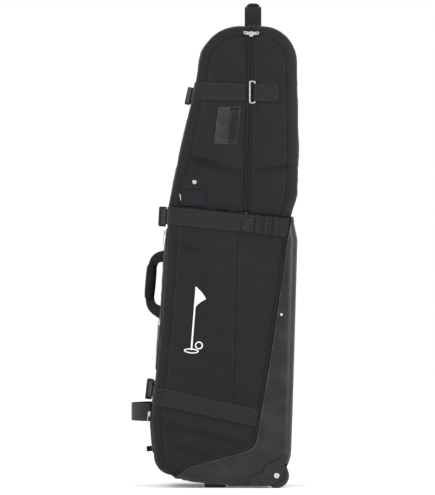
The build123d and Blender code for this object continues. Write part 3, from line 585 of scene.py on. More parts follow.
class Block:
    """A padded block of the bag: its outline and half width from the CAD, and how its cloth swells."""

    def __init__(self, nodes, holds, half_width, crown):
        self.holds = tree(*holds)
        self.half_width = half_width
        self.crown = crown
        low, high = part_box(nodes[0])
        for node in nodes:
            low = Vector(map(min, low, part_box(node)[0]))
            high = Vector(map(max, high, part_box(node)[1]))
        self.middle = Vector(((low.x + high.x) / 2, 0, (low.z + high.z) / 2))
        self.outline = side_outline(nodes, self.middle)
        ahead = np.roll(self.outline, -1, axis=0) - np.roll(self.outline, 1, axis=0)
        ahead /= np.linalg.norm(ahead, axis=1)[:, None]
        self.normals = np.stack([ahead[:, 1], -ahead[:, 0]], 1)
        rings = self.rings()
        self.seam = search_tree(np.concatenate([rings[WALL_STEPS - 1], rings[-WALL_STEPS]]))
        self.moved = None
        self.nearest = None
        self.surface = None
        self.creases = []
        self.wall_seams = []

    def rings(self, depth=0.0):
        """Rings of points from the middle of the left wall, over the gusset, to the right wall."""
        contour = self.outline - self.normals * depth
        half_width = self.half_width - depth
        corner = CORNER - depth
        inner = contour - self.normals * corner
        centre = np.array([self.middle.x, self.middle.z])
        left = []
        for share in np.linspace(0, 1, WALL_STEPS + 1)[1:-1]:
            left.append((centre + (inner - centre) * share, -half_width))
        for turn in np.linspace(0, math.pi / 2, CORNER_STEPS, endpoint=False):
            drop = corner * (1 - math.sin(turn))
            left.append((contour - self.normals * drop, -half_width + corner * (1 - math.cos(turn))))
        flat = half_width - corner
        gusset = [(contour, y) for y in np.linspace(-flat, flat, GUSSET_STEPS)]
        right = [(points, -y) for points, y in reversed(left)]
        return [
            np.stack([points[:, 0], np.full(len(points), y), points[:, 1]], 1)
            for points, y in left + gusset + right
        ]

    def grid(self, depth=0.0):
        """Closed mesh of the block at a depth below its skin."""
        rings = self.rings(depth)
        count = len(rings[0])
        points = np.concatenate(rings)
        faces = []
        for ring in range(len(rings) - 1):
            for step in range(count):
                after = (step + 1) % count
                near, far = ring * count, (ring + 1) * count
                faces.append((near + step, far + step, far + after, near + after))
        half_width = self.half_width - depth
        for y, ring in ((-half_width, 0), (half_width, len(rings) - 1)):
            pole = len(points)
            points = np.concatenate([points, [[self.middle.x, y, self.middle.z]]])
            for step in range(count):
                pair = (ring * count + step, ring * count + (step + 1) % count)
                faces.append((pole, *pair) if y < 0 else (pole, *reversed(pair)))
        return points, faces

    def swell(self, point, normal):
        """How far the cloth stands proud of the CAD skin at a point."""
        hold = self.holds.find_nearest(point)[3]
        seam = self.seam.find(point)[2]
        slack = (1 - math.exp(-((hold / 0.055) ** 2))) * (1 - math.exp(-((seam / 0.06) ** 2)))
        side = abs(normal.y)
        height = slack * (self.crown * side + 2.5 * MM * (1 - side))
        warp = noise.noise_vector(point * 6) * 0.03
        place = point + warp
        height += slack * noise.noise(place * 9) * 3.4 * MM
        folds = 1 - abs(noise.noise(Vector((place.x * 13, place.y * 13, place.z * 24))))
        height += slack * (folds ** 4 - 0.4) * 2.6 * MM
        ripple = noise.noise(Vector((point.x * 60, point.y * 60, point.z * 45)))
        height += ripple * 0.35 * MM * min(1.0, hold / 0.01)
        height -= 1.2 * MM * math.exp(-((seam / 0.005) ** 2))
        for start, end, depth, width in self.creases:
            height -= depth * crease_share(point, start, end, width)
        for start, end in self.wall_seams:
            height -= 1.8 * MM * side * groove_share(point, start, end, 6 * MM)
        return height

    def settle(self, waist=None):
        """Works out the swelling once, on the outer skin."""
        points, faces = self.grid()
        mesh = mesh_of("skin", points, faces)
        normals = [vertex.normal.copy() for vertex in mesh.vertices]
        moved = np.array([
            tuple(normal * self.swell(Vector(point), normal)) for point, normal in zip(points, normals)
        ])
        if waist:
            moved += np.array([waist(Vector(point)) for point in points])
        self.moved = moved
        self.nearest = search_tree(points)
        self.surface = BVHTree.FromPolygons([Vector(p) for p in points + moved], faces)
        bpy.data.meshes.remove(mesh)

    def field(self, point):
        """How far the cloth has moved near a point of the CAD skin."""
        total, weight = Vector(), 0.0
        for _, index, distance in self.nearest.find_n(point, 4):
            share = 1 / (distance + 1e-5)
            total += Vector(self.moved[index]) * share
            weight += share
        return total / weight

    def skin(self, name, cuts, body, slot, replaces, depth=0.0, thickness=CLOTH, skip=None):
        """The part of the block's cloth inside some planes, as a closed sheet."""
        points, faces = self.grid(depth)
        mesh = mesh_of(name, points + self.moved, faces)
        edit = bmesh.new()
        edit.from_mesh(mesh)
        if skip:
            gone = [face for face in edit.faces if skip(face.calc_center_median())]
            bmesh.ops.delete(edit, geom=gone, context="FACES")
        for place, away in cuts:
            geometry = edit.verts[:] + edit.edges[:] + edit.faces[:]
            bmesh.ops.bisect_plane(edit, geom=geometry, plane_co=place, plane_no=away, clear_outer=True)
        edit.to_mesh(mesh)
        edit.free()
        thicken(finish_piece(name, mesh, body, slot, replaces), thickness)

    def seam_path(self, label):
        """The settled seam round the left or the right side panel."""
        rings = self.rings()
        index = WALL_STEPS - 1 if label == "left" else len(rings) - WALL_STEPS
        count = len(self.outline)
        return [Vector(point) for point in rings[index] + self.moved[index * count:(index + 1) * count]]

    def on_wall(self, x, z, lift=0.0):
        """A point of the settled left wall, in side view."""
        hit = self.surface.ray_cast(Vector((x, -1, z)), Y)[0]
        return hit - Y * lift

    def wall_path(self, start, end, lift, steps):
        """A straight line in side view, lying on the left wall."""
        shares = np.linspace(0, 1, steps)
        return [self.on_wall(*Vector(start).lerp(Vector(end), share), lift) for share in shares]

    def front_x(self, z):
        """The front edge of the outline at a height."""
        front = self.outline[self.outline[:, 0] < self.middle.x - 0.02]
        front = front[np.argsort(front[:, 1])]
        return float(np.interp(z, front[:, 1], front[:, 0]))

    def front_normal(self, z):
        tilt = (self.front_x(z + 0.01) - self.front_x(z - 0.01)) / 0.02
        return Vector((-1, 0, tilt)).normalized()

    def belt(self, line, start, end_x, lift=BAND_LIFT):
        """Path of a band from the front round the left corner to end_x, with its width's directions."""
        slope, height = line
        z = height
        for _ in range(6):
            z = height + slope * self.front_x(z)
        front, tilted = self.front_x(z), self.front_normal(z)
        flat = self.half_width - CORNER
        points, normals = [], []
        for y in np.linspace(start, flat, 16, endpoint=False):
            points.append(Vector((front, -y, z)) + tilted * lift)
            normals.append(tilted)
        for turn in np.linspace(0, math.pi / 2, 9):
            out = tilted * math.cos(turn) - Y * math.sin(turn)
            level = Vector((-math.cos(turn), -math.sin(turn), 0))
            x = front + CORNER + level.x * (CORNER + lift)
            points.append(Vector((x, -flat + level.y * (CORNER + lift), height + slope * x)))
            normals.append(out.normalized())
        steps = max(3, int((end_x - front - CORNER) / (8 * MM)))
        for x in np.linspace(front + CORNER, end_x, steps)[1:]:
            points.append(Vector((x, -self.half_width - lift, height + slope * x)))
            normals.append(-Y)
        across = [out.cross(along) for out, along in zip(normals, tangents(points))]
        return points, across


def beside_line(point, start, end):
    """Where a point lies along a line in side view, as a share of it, and how far above the line."""
    line = end - start
    from_start = Vector((point.x, point.z)) - start
    share = from_start.dot(line) / line.length_squared
    return share, from_start - line * min(1.0, max(0.0, share))


def crease_share(point, start, end, width):
    """A fold's height: a valley on its line with a soft ridge above it, fading at both ends."""
    share, away = beside_line(point, start, end)
    if not 0 < share < 1:
        return 0.0
    above = away.y / width
    valley = math.exp(-(above ** 2))
    ridge = 0.8 * math.exp(-(((above - 1.9) / 1.4) ** 2))
    return (valley - ridge) * math.sin(math.pi * share) ** 0.6


def groove_share(point, start, end, width):
    """How deep in a straight groove a point lies, from 0 to 1."""
    return math.exp(-((beside_line(point, start, end)[1].length / width) ** 2))


def mirrored(points):
    return [Vector((point.x, -point.y, point.z)) for point in points]


def strap_line(node):
    """Slope of a strap's middle line on the left wall, and its height at x = 0."""
    points = node_points(node)
    wall = points[points[:, 1] < points[:, 1].min() + 3 * MM]
    spans = [(np.ptp(wall[:, 2] - slope * wall[:, 0]), slope) for slope in np.linspace(-0.5, 0.5, 1001)]
    slope = min(spans)[1]
    level = wall[:, 2] - slope * wall[:, 0]
    return slope, (level.min() + level.max()) / 2


def make_blocks():
    lower = Block(
        ["lower_gusset"],
        ["back_shell", "mid_strap", "lower_strap", "bottom_tab", "mid_buckle_socket", "lower_buckle_socket",
         "pocket_zip_chain"],
        -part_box("lower_panel_left")[0].y, 9 * MM,
    )
    hood = Block(
        ["hood_front_panel", "hood_back_panel"],
        ["upper_strap_front", "upper_strap_back", "strap_rings", "id_pocket", "id_flap", "hood_zip_back",
         "hood_slider_left", "hood_slider_right", "mid_strap", "upper_buckle_socket", "top_handle_webbing"],
        -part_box("hood_front_panel")[0].y, 9 * MM,
    )
    ledge = lower.half_width - hood.half_width
    for block, creases in ((hood, HOOD_CREASES), (lower, LOWER_CREASES)):
        block.creases = [(from_waist(start), from_waist(end), *sizes) for start, end, *sizes in creases]
    lower.wall_seams = [tuple(map(from_waist, SIDE_SEAM))]

    def shoulder(point):
        """The top of the lower bag curves in to meet the narrower hood."""
        below = waist_z(point.x) - point.z
        reach = min(1.0, max(0.0, 1 - below / ledge))
        pull = ledge * (1 - math.sqrt(1 - reach * reach)) * 0.95
        return (0.0, -math.copysign(pull, point.y) if abs(point.y) > 0.1 else 0.0, 0.0)

    lower.settle(shoulder)
    hood.settle()
    return lower, hood


def make_cloth(lower, hood):
    """Outer skins and linings of both blocks, cut at the waist and along the hood's zip."""
    waist_up = Vector((-WAIST_SLOPE, 0, 1)).normalized()
    zip_back = Vector((-ZIP_DOWN.z, 0, ZIP_DOWN.x))
    zip_place = Vector((zip_x(1.0), 0, 1.0))
    housing_low, housing_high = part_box("wheel_housing_left")

    def at_wheel(point):
        inside_x = point.x > housing_low.x - 4 * MM
        return inside_x and point.z < housing_high.z + 3 * MM and abs(point.y) > -housing_high.y - 3 * MM

    below = [(WAIST_FRONT, waist_up)]
    above = [(WAIST_FRONT + waist_up * 0.5 * MM, -waist_up)]
    front = above + [(zip_place - zip_back * 1 * MM, zip_back)]
    back = above + [(zip_place + zip_back * 1 * MM, -zip_back)]
    lower.skin("lower_cloth", below, "bag", "body_cloth",
               ("lower_gusset", "lower_panel_left", "lower_panel_right"), skip=at_wheel)
    lower.skin("lower_lining", below, "bag", "foam_lining", ("lower_foam_liner",),
               LINING_DEPTH, LINING, at_wheel)
    for side, cuts, body in (("front", front, "hood_front"), ("back", back, "bag")):
        hood.skin(f"hood_{side}_cloth", cuts, body, "body_cloth", (f"hood_{side}_panel",))
        hood.skin(f"hood_{side}_lining", cuts, body, "foam_lining", (f"hood_{side}_liner",),
                  LINING_DEPTH, LINING)


# ---------------------------------------------------------------- sewn pieces
def drape(node, block, body, name, slot, pillow=0.0, edge=0.5 * MM, step=9 * MM, material=None):
    """Copies a flat sewn CAD node, rounds its edges and lays it on the swollen cloth."""
    edit = bmesh.new()
    edit.from_mesh(frame["nodes"][node].data)
    bmesh.ops.remove_doubles(edit, verts=edit.verts[:], dist=0.01 * MM)
    bmesh.ops.dissolve_limit(edit, angle_limit=math.radians(1), verts=edit.verts[:], edges=edit.edges[:])
    if edge:
        sharp = [e for e in edit.edges if e.is_manifold and e.calc_face_angle() > math.radians(40)]
        bmesh.ops.bevel(edit, geom=sharp, offset=edge, segments=2, profile=0.5, affect="EDGES",
                        clamp_overlap=True)
    low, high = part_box(node)
    for axis, direction in ((0, X), (1, Y), (2, Z)):
        for place in np.arange(low[axis] + step / 2, high[axis], step):
            geometry = edit.verts[:] + edit.edges[:] + edit.faces[:]
            bmesh.ops.bisect_plane(edit, geom=geometry, plane_co=direction * place, plane_no=direction)
    for vertex in edit.verts:
        shift = block.field(vertex.co)
        if pillow:
            shares = [2 * (vertex.co[axis] - low[axis]) / (high[axis] - low[axis]) - 1 for axis in (1, 2)]
            shift = shift - X * pillow * (1 - shares[0] ** 4) * (1 - shares[1] ** 8)
        vertex.co += shift
    mesh = bpy.data.meshes.new(name)
    edit.to_mesh(mesh)
    edit.free()
    piece = finish_piece(name, mesh, body, slot, (node,), material)
    mesh.set_sharp_from_angle(angle=math.radians(50))
    return piece


def make_straps(lower, hood):
    for node, block, body in (
        ("mid_strap", lower, "bag"),
        ("lower_strap", lower, "bag"),
        ("upper_strap_front", hood, "hood_front"),
    ):
        line = strap_line(node)
        end_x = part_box(node)[1].x
        points, across = block.belt(line, BUCKLE_GAP, end_x)
        ribbon(node + "_left", points, across, body, replaces=(node,))
        flipped = [-direction for direction in mirrored(across)]
        ribbon(node + "_right", mirrored(points), flipped, body)
        for edge in (-1, 1):
            path = [p + a.normalized() * edge * (WEB_WIDTH / 2 - 3 * MM) for p, a in zip(points, across)]
            wall = [p - Y * (WEB / 2) for p in path if p.y < -block.half_width]
            STITCHES[body].run(wall, -Y)
            STITCHES[body].run(mirrored(wall), Y)
    upper_strap_back(hood)


def upper_strap_back(hood):
    """The short run behind the ring, sewn down with a square and cross, folded round the ring's bar."""
    low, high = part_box("upper_strap_back")
    slope, height = strap_line("upper_strap_front")
    ring_low, ring_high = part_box("strap_rings")
    wall = -hood.half_width
    for side, label in ((1, "left"), (-1, "right")):
        places = np.linspace(high.x, low.x + 4 * MM, 9)
        points = [Vector((x, wall - BAND_LIFT, height + slope * x)) for x in places]
        bar_x = ring_high.x - 2 * MM
        out = -ring_low.y + 1.6 * MM
        points += [
            Vector((bar_x + 4 * MM, -out + 3 * MM, height + slope * bar_x)),
            Vector((bar_x, -out, height + slope * bar_x)),
            Vector((bar_x - 3.6 * MM, -out + 2.2 * MM, height + slope * bar_x)),
            Vector((bar_x - 3.6 * MM, wall - BAND_LIFT, height + slope * bar_x)),
        ]
        points = resample(rounded(points, 3 * MM), 3 * MM)
        if side < 0:
            points = mirrored(points)
        across = [Z] * len(points)
        replaced = ("upper_strap_back",) if side > 0 else ()
        ribbon("upper_strap_back_" + label, points, across, "bag", replaces=replaced)
        middle = Vector(((low.x + high.x) / 2 + 6 * MM, side * (wall - BAND_LIFT - WEB / 2), height))
        STITCHES["bag"].box_and_cross(middle, X, Z, -Y * side, 44 * MM, 42 * MM)


def make_piping(lower, hood):
    """Cords along the seams between the side panels and the gussets."""
    shell = tree("back_shell")
    for label in ("left", "right"):
        shown = [point for point in lower.seam_path(label)
                 if point.z < waist_z(point.x) and shell.find_nearest(point)[3] > 4 * MM]
        add_piping("piping_lower_" + label, shown, "bag")
        above = [point for point in hood.seam_path(label) if point.z > waist_z(point.x) + 2 * MM]
        front = [point for point in above if point.x < zip_x(point.z) - 8 * MM]
        back = [point for point in above if point.x > zip_x(point.z) + 8 * MM]
        add_piping("piping_hood_front_" + label, front, "hood_front")
        add_piping("piping_hood_back_" + label, back, "bag")


def add_piping(name, points, body):
    """A cord through points in order, broken where the order jumps."""
    jumps = [(after - before).length for before, after in zip(points, points[1:])]
    if jumps and max(jumps) > 4 * GRID:
        split = jumps.index(max(jumps)) + 1
        points = points[split:] + points[:split]
    tube(name, points, 2.1 * MM, body, "body_cloth")
    side = -Y if points[0].y < 0 else Y
    inward = [point + side * 0.6 * MM for point in points]
    STITCHES[body].run(shift_inwards(inward, 6 * MM), side)


def shift_inwards(points, distance):
    """The path moved in its own plane towards its middle."""
    middle = sum(points, Vector()) / len(points)
    moved = []
    for point, along in zip(points, tangents(points)):
        sideways = along.cross(Y).normalized()
        if sideways.dot(middle - point) < 0:
            sideways = -sideways
        moved.append(point + sideways * distance)
    return moved


def zip_path(hood, offset, lift):
    """Round the hood along the zip: up the left wall, over the top and down the right wall."""
    half_width = hood.half_width + lift
    top = HOOD_TOP + lift
    corner = CORNER + lift
    points = [Vector((0, -half_width, z)) for z in np.arange(waist_z(0.09) + 6 * MM, top - corner, 8 * MM)]
    for turn in np.linspace(0, math.pi / 2, 9):
        inward, down = corner * (1 - math.cos(turn)), corner * (1 - math.sin(turn))
        points.append(Vector((0, -half_width + inward, top - down)))
    middle = np.linspace(-half_width + corner, half_width - corner, 32)[1:-1]
    points += [Vector((0, y, top)) for y in middle]
    points += mirrored(list(reversed(points[: -len(middle)])))
    return [Vector((zip_x(point.z) + offset, point.y, point.z)) for point in points]


def make_zip(hood):
    """Two tapes, a coil of small teeth on each and a welt beside them."""
    for side, body, node in ((-1, "hood_front", "hood_zip_front"), (1, "bag", "hood_zip_back")):
        tag = "front" if side < 0 else "back"
        path = zip_path(hood, side * 4.2 * MM, 0.9 * MM)
        across = [X] * len(path)
        ribbon(f"hood_zip_tape_{tag}", path, across, body, "zip_coil", (node,), 8 * MM, 1 * MM)
        welt = zip_path(hood, side * 5.2 * MM, 2.6 * MM)
        tube(f"hood_zip_welt_{tag}", welt, 2.7 * MM, body, "body_cloth")
        coil = resample(zip_path(hood, side * 1.6 * MM, 1.3 * MM), TOOTH_PITCH / 2)
        add_teeth(f"hood_zip_teeth_{tag}", coil[(side > 0)::2], body)
        topstitch = [p for p in zip_path(hood, side * 13 * MM, 0.6 * MM) if p.y < -hood.half_width]
        STITCHES[body].run(topstitch, -Y)
        STITCHES[body].run(mirrored(topstitch), Y)


def add_teeth(name, path, body):
    """Small rounded teeth lying across a zip tape."""
    stations = [(share * 1.9 * MM, 0, 0.48 * MM * size, 0.6 * MM * size)
                for share, size in ((-1.0, 0.6), (-0.6, 1.0), (0.6, 1.0), (1.0, 0.6))]
    pile = Pile()
    for place, along in zip(path, tangents(path)):
        pile.add(*bead(place, X, along, along.cross(X).normalized(), stations, 6))
    finish_piece(name, mesh_of(name, pile.points, pile.faces), body, "zip_coil")


# ---------------------------------------------------------------- handles
def padded_wrap(name, points, across, body, width, thickness, replaces):
    """A foam wrap round webbing: a soft rounded section that swells in the middle."""
    profiles = []
    count = len(points)
    for index in range(count):
        share = 2 * index / (count - 1) - 1
        swell = (1 - share ** 6) * 0.16 + 0.84 - 0.05 * share ** 2
        if index in (0, count - 1):
            swell *= 0.8
        profile = []
        for turn in turns(28):
            u, v = math.cos(turn), -math.sin(turn)
            size = (abs(u) ** 2.8 + abs(v) ** 2.8) ** (-1 / 2.8)
            profile.append((u * size * width / 2 * swell, v * size * thickness / 2 * swell))
        profiles.append(profile)
    finish_piece(name, swept(name, points, across, profiles), body, "grip_foam", replaces)


def make_top_handle():
    grip_low, grip_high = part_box("top_handle_grip")
    web_low, web_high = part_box("top_handle_webbing")
    centre = (grip_low + grip_high) / 2
    top = centre.z
    span = web_high.y - 1.5 * MM
    foot = HOOD_TOP + 0.6 * MM
    x = centre.x
    width = web_high.x - web_low.x
    corners = [Vector((x, y, z)) for y, z in ((-span, foot), (-span, top), (span, top), (span, foot))]
    path = resample(rounded(corners, 16 * MM), 4 * MM)
    mesh = swept("top_handle_webbing", path, X, band_profile(width, 3 * MM))
    webbing = finish_piece("top_handle_strap", mesh, None, "webbing", ("top_handle_webbing",))
    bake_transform(webbing)
    grip_points = resample([Vector((x, grip_low.y, top)), Vector((x, grip_high.y, top))], 5 * MM)
    padded_wrap("top_handle_wrap", grip_points, X, "top_handle", 38 * MM, 25 * MM, ("top_handle_grip",))
    low_x = zip_x(HOOD_TOP) + 6 * MM
    for side in (-1, 1):
        tag = "left" if side < 0 else "right"
        points = [Vector(((low_x + web_high.x) / 2, side * y, HOOD_TOP + 2.0 * MM))
                  for y in np.linspace(span - 18 * MM, span + 26 * MM, 8)]
        ribbon(f"top_handle_foot_{tag}", points, X, "bag", width=web_high.x - low_x)
        middle = Vector(((low_x + web_high.x) / 2, side * (span + 13 * MM), HOOD_TOP + 3.2 * MM))
        STITCHES["bag"].box_and_cross(middle, X, Y, Z, 18 * MM, 20 * MM)


def make_carry_handle():
    """Two webbing bands, seen flat from the side, that run from root to root through a padded wrap."""
    swing = joint("carry_handle_swing")
    pivot = Vector(swing["pos_m"])
    axis = Vector(swing["axis"]).normalized()
    up = -axis if axis.z < 0 else axis
    out = Y.cross(up) if Y.cross(up).x < 0 else up.cross(Y)
    low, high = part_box("carry_handle_grip")
    middle = (low + high) / 2
    depth = (middle - pivot).dot(out)
    half_grip = (high.z - low.z) / 2
    centre = middle - out * depth
    corners = [
        centre + up * (half_grip + 28 * MM) - out * 18 * MM,
        centre + up * (half_grip + 20 * MM) + out * (depth - 8 * MM),
        centre + up * (half_grip - 12 * MM) + out * depth,
        centre - up * (half_grip - 12 * MM) + out * depth,
        centre - up * (half_grip + 22 * MM) + out * (depth - 8 * MM),
        centre - up * (half_grip + 40 * MM) - out * 16 * MM,
    ]
    path = resample(rounded(corners, 20 * MM), 4 * MM)
    root_width, wrap_width = 36 * MM, 24 * MM
    for side, tag in ((-1, "left"), (1, "right")):
        points, profiles = [], []
        for point in path:
            share = min(1.0, max(0.0, (point - pivot).dot(out) / depth))
            points.append(point + Y * side * (17 - 10 * share) * MM)
            profiles.append(band_profile(root_width + (wrap_width - root_width) * share, 2.6 * MM))
        across = [along.cross(Y).normalized() for along in tangents(points)]
        mesh = swept("carry_webbing_" + tag, points, across, profiles)
        replaced = ("carry_handle_webbing",) if side < 0 else ()
        strap = finish_piece("carry_handle_strap_" + tag, mesh, None, "webbing", replaced)
        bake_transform(strap)
    grip = [middle + up * half_grip * share for share in np.linspace(-0.98, 0.98, 26)]
    padded_wrap("carry_handle_wrap", grip, Y, "carry_handle", high.y - low.y, 30 * MM,
                ("carry_handle_grip",))


def make_grab_loop(lower):
    low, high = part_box("grab_loop")
    z = (low.z + high.z) / 2
    root = lower.front_x(z) - 3 * MM
    span = high.y + 10 * MM
    arc = [Vector((root - (root - low.x) * math.sin(math.pi * share) ** 0.8, -span + 2 * span * share, z))
           for share in np.linspace(0, 1, 41)]
    mesh = swept("grab_webbing", resample(arc, 5 * MM), Z, band_profile(high.z - low.z, 3 * MM))
    loop = finish_piece("grab_loop_strap", mesh, None, "webbing", ("grab_loop",))
    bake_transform(loop)
    for side in (-1, 1):
        tag = "left" if side < 0 else "right"
        normal = lower.front_normal(z)
        points = [Vector((lower.front_x(z), side * y, z)) + normal * 2 * MM
                  for y in np.linspace(span - 34 * MM, span + 8 * MM, 8)]
        across = [normal.cross(Y)] * len(points)
        ribbon(f"grab_loop_root_{tag}", points, across, "bag")


def make_buckle_webbing(lower, hood):
    """Webbing folded round the bar of each buckle half."""
    for tag, block, body in (("upper", hood, "hood_front"), ("mid", lower, "bag"), ("lower", lower, "bag")):
        socket, plug = tag + "_buckle_socket", tag + "_buckle_plug"
        low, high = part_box(socket)
        z = (low.z + high.z) / 2
        normal = block.front_normal(z)
        face = Vector((block.front_x(z), 0, z))
        reaches = [(Vector(point) - face).dot(normal) for point in node_points(socket)]
        middle = (min(reaches) + max(reaches)) / 2
        across = normal.cross(Y)
        strap = across.normalized()
        for half, side, bar, plug_body in (("socket", -1, -low.y - 3.5 * MM, None),
                                           ("plug", 1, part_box(plug)[1].y - 3.5 * MM, tag + "_plug")):
            fold = [  # beyond the bar, and above the cloth; the middle four go round the bar
                (44 * MM, 2.8 * MM), (14 * MM, 4.0 * MM), (3 * MM, middle - 3.4 * MM),
                (-3.2 * MM, middle - 3.4 * MM), (-3.2 * MM, middle + 3.4 * MM),
                (6 * MM, middle + 3.4 * MM), (40 * MM, 6.2 * MM),
            ]
            corners = [face + normal * above + Y * side * (bar + beyond) for beyond, above in fold]
            path = resample(rounded(corners, 3.2 * MM), 3 * MM)
            name = f"{tag}_{half}_webbing"
            mesh = swept(name, path, strap, band_profile(WEB_WIDTH - 6 * MM, 1.8 * MM))
            if plug_body:
                piece = finish_piece(name, mesh, None, "webbing")
                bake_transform(piece)
            else:
                finish_piece(name, mesh, body, "webbing")


# ---------------------------------------------------------------- small sewn things
def make_small_things(lower, hood):
    drape("front_pocket_upper", lower, "bag", "pocket_upper_panel", "body_cloth", 3 * MM)
    drape("front_pocket_lower", lower, "bag", "pocket_lower_panel", "body_cloth", 2 * MM)
    drape("pocket_zip_chain", lower, "bag", "pocket_zip_tape", "zip_coil")
    drape("shell_binding", lower, "bag", "shell_edge_binding", "webbing")
    drape("bottom_tab", lower, "bag", "bottom_tab_fold", "webbing", edge=0.8 * MM)
    low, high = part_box("bottom_tab")
    level = (low.z + high.z) / 2
    core = [Vector((x, 0, level)) for x in np.linspace(low.x + 2 * MM, high.x, 6)]
    ribbon("bottom_tab_filling", core, Y, "bag", width=high.y - low.y - 2 * MM,
           thickness=high.z - low.z - 3 * MM)
    drape("flag_motif", lower, "bag", "flag_embroidery", "thread", edge=0.45 * MM, step=6 * MM)
    drape("label_patch", hood, "hood_front", "label_plate", "label", edge=0.5 * MM)
    drape("id_pocket", hood, "hood_front", "card_pocket", "body_cloth", edge=0.7 * MM)
    drape("id_window", hood, "hood_front", "card_window", "window", edge=0.2 * MM)
    drape("id_flap", hood, "card_flap", "card_flap_cover", "body_cloth", edge=0.7 * MM)


def patch(name, block, corners, body, slot, lift, material=None):
    """A thin soft patch on the left wall, inside four (x, z) corners in order."""
    low_left, low_right, high_right, high_left = (Vector(corner) for corner in corners)
    steps = 8
    shares = np.linspace(0, 1, steps)
    points = []
    for row in shares:
        start, end = low_left.lerp(high_left, row), low_right.lerp(high_right, row)
        for column in shares:
            inside = min(1.0, 8 * min(row, 1 - row, column, 1 - column))
            points.append(block.on_wall(*start.lerp(end, column), lift - 0.5 * MM * (1 - inside)))
    firsts = [row * steps + column for row in range(steps - 1) for column in range(steps - 1)]
    faces = [(first, first + 1, first + steps + 1, first + steps) for first in firsts]
    thicken(finish_piece(name, mesh_of(name, points, faces), body, slot, (), material), 0.9 * MM)


def dome(name, middle, radius, body, slot):
    """A round rivet head facing the left side."""
    stations = [(rise * radius, 0, size * radius, size * radius)
                for size, rise in ((1.0, -0.1), (1.0, 0.15), (0.8, 0.45), (0.45, 0.62), (0.1, 0.66))]
    points, faces = bead(middle, -Y, X, Z, stations, 18)
    finish_piece(name, mesh_of(name, points, faces), body, slot)


def make_side_seam(lower):
    """The seam down the lower side panel: a thin ridge with a row of stitches beside it."""
    start, end = lower.wall_seams[0]
    tube("side_seam_ridge", lower.wall_path(start, end, 0.2 * MM, 80), 0.9 * MM, "bag", "body_cloth")
    beside = [point + X * 5 * MM - Y * 0.4 * MM for point in lower.wall_path(start, end, 0.0, 80)]
    STITCHES["bag"].run(beside, -Y)


def make_keepers(lower):
    """Loops and a sewn patch that hold the middle strap near the zip's foot."""
    slope, height = strap_line("mid_strap")
    along = Vector((1, 0, slope)).normalized()
    down = Vector((slope, 0, -1)).normalized()
    reach = WEB_WIDTH / 2 + 3 * MM

    def on_strap(x, lift):
        return Vector((x, -lower.half_width - lift, height + slope * x))

    for number, edges in enumerate(KEEPERS):
        start, end = (ZIP_FOOT.x + edge * MM for edge in edges)
        foot, crown = on_strap((start + end) / 2, -3 * MM), on_strap((start + end) / 2, 4.4 * MM)
        path = [foot - down * reach, crown - down * (reach - 2 * MM),
                crown + down * (reach - 2 * MM), foot + down * reach]
        ribbon(f"strap_keeper_{number}", resample(rounded(path, 6 * MM), 3 * MM), along, "bag",
               width=end - start, thickness=2 * MM)
    left, right = (ZIP_FOOT.x + edge * MM for edge in ZIP_END_PATCH)
    centre = on_strap((left + right) / 2, 3.4 * MM) - Z * 3 * MM
    ends = [centre + along * share * (right - left) / 2 for share in np.linspace(-1, 1, 6)]
    ribbon("zip_end_patch", ends, Vector((-slope, 0, 1)), "bag", width=39 * MM, thickness=1.6 * MM)
    STITCHES["bag"].box_and_cross(centre - Y * 0.8 * MM, along, Z, -Y, 24 * MM, 32 * MM)


def make_shell_edge_highlight(lower):
    """A thin pale bead along the shell's edge, a painted highlight for the light caught by the rounded edge; the
    edge is found by looking outwards from the panel's middle.
    """
    shell = tree("back_shell")
    edge = []
    for turn in np.radians(np.arange(62, -112, -1.0)):
        ahead = Vector((math.cos(turn), 0, math.sin(turn)))
        for reach in np.arange(0.1, 0.45, 0.8 * MM):
            place = lower.middle + ahead * reach
            hit = shell.ray_cast(Vector((place.x, -1, place.z)), Y)[0]
            if hit is not None and hit.y < -lower.half_width + 20 * MM:
                if hit.z < waist_z(hit.x) - 6 * MM:
                    edge.append(hit + ahead * 1.5 * MM)
                break
    # painted highlight: a pale plastic bead laid along the shell's edge where its rounded edge catches the light
    tube("shell_edge_painted_highlight", resample(edge, 6 * MM), 1.0 * MM, "bag", "skid_plastic")


def make_card_edge_highlight(hood):
    """A cord at the front edge of the card holder: real piping, painted white as the highlight on its glossy black
    surface.
    """
    low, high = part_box("id_window")
    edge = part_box("id_pocket")[0].x
    path = hood.wall_path((edge - 2.5 * MM, high.z - 5 * MM), (edge + 2.5 * MM, low.z), 1.2 * MM, 10)
    # painted highlight: the piping is coloured white to stand in for the shine on glossy black piping
    tube("card_edge_painted_highlight", path, 1.1 * MM, "hood_front", "thread")


def make_label_half(hood):
    """The dark half of the sewn label, leaning as the label does."""
    low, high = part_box("label_patch")
    lean = 0.072
    middle_z = (low.z + high.z) / 2
    front, back = low.x + (high.x - low.x) * 0.56, high.x - 5 * MM

    def row(z):
        shift = (z - middle_z) * lean
        return (front + shift, z), (back + shift, z)

    low_left, low_right = row(low.z + 3 * MM)
    high_left, high_right = row(high.z - 3 * MM)
    patch("label_dark_half", hood, (low_left, low_right, high_right, high_left), "hood_front", "label",
          2.1 * MM, "label_dark")


def make_shell_rivet():
    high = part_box("back_shell")[1]
    start = Vector((high.x - 45.3 * MM, -1, high.z - 273 * MM))
    dome("shell_side_rivet", tree("back_shell").ray_cast(start, Y)[0], 4.2 * MM, "bag", "steel")


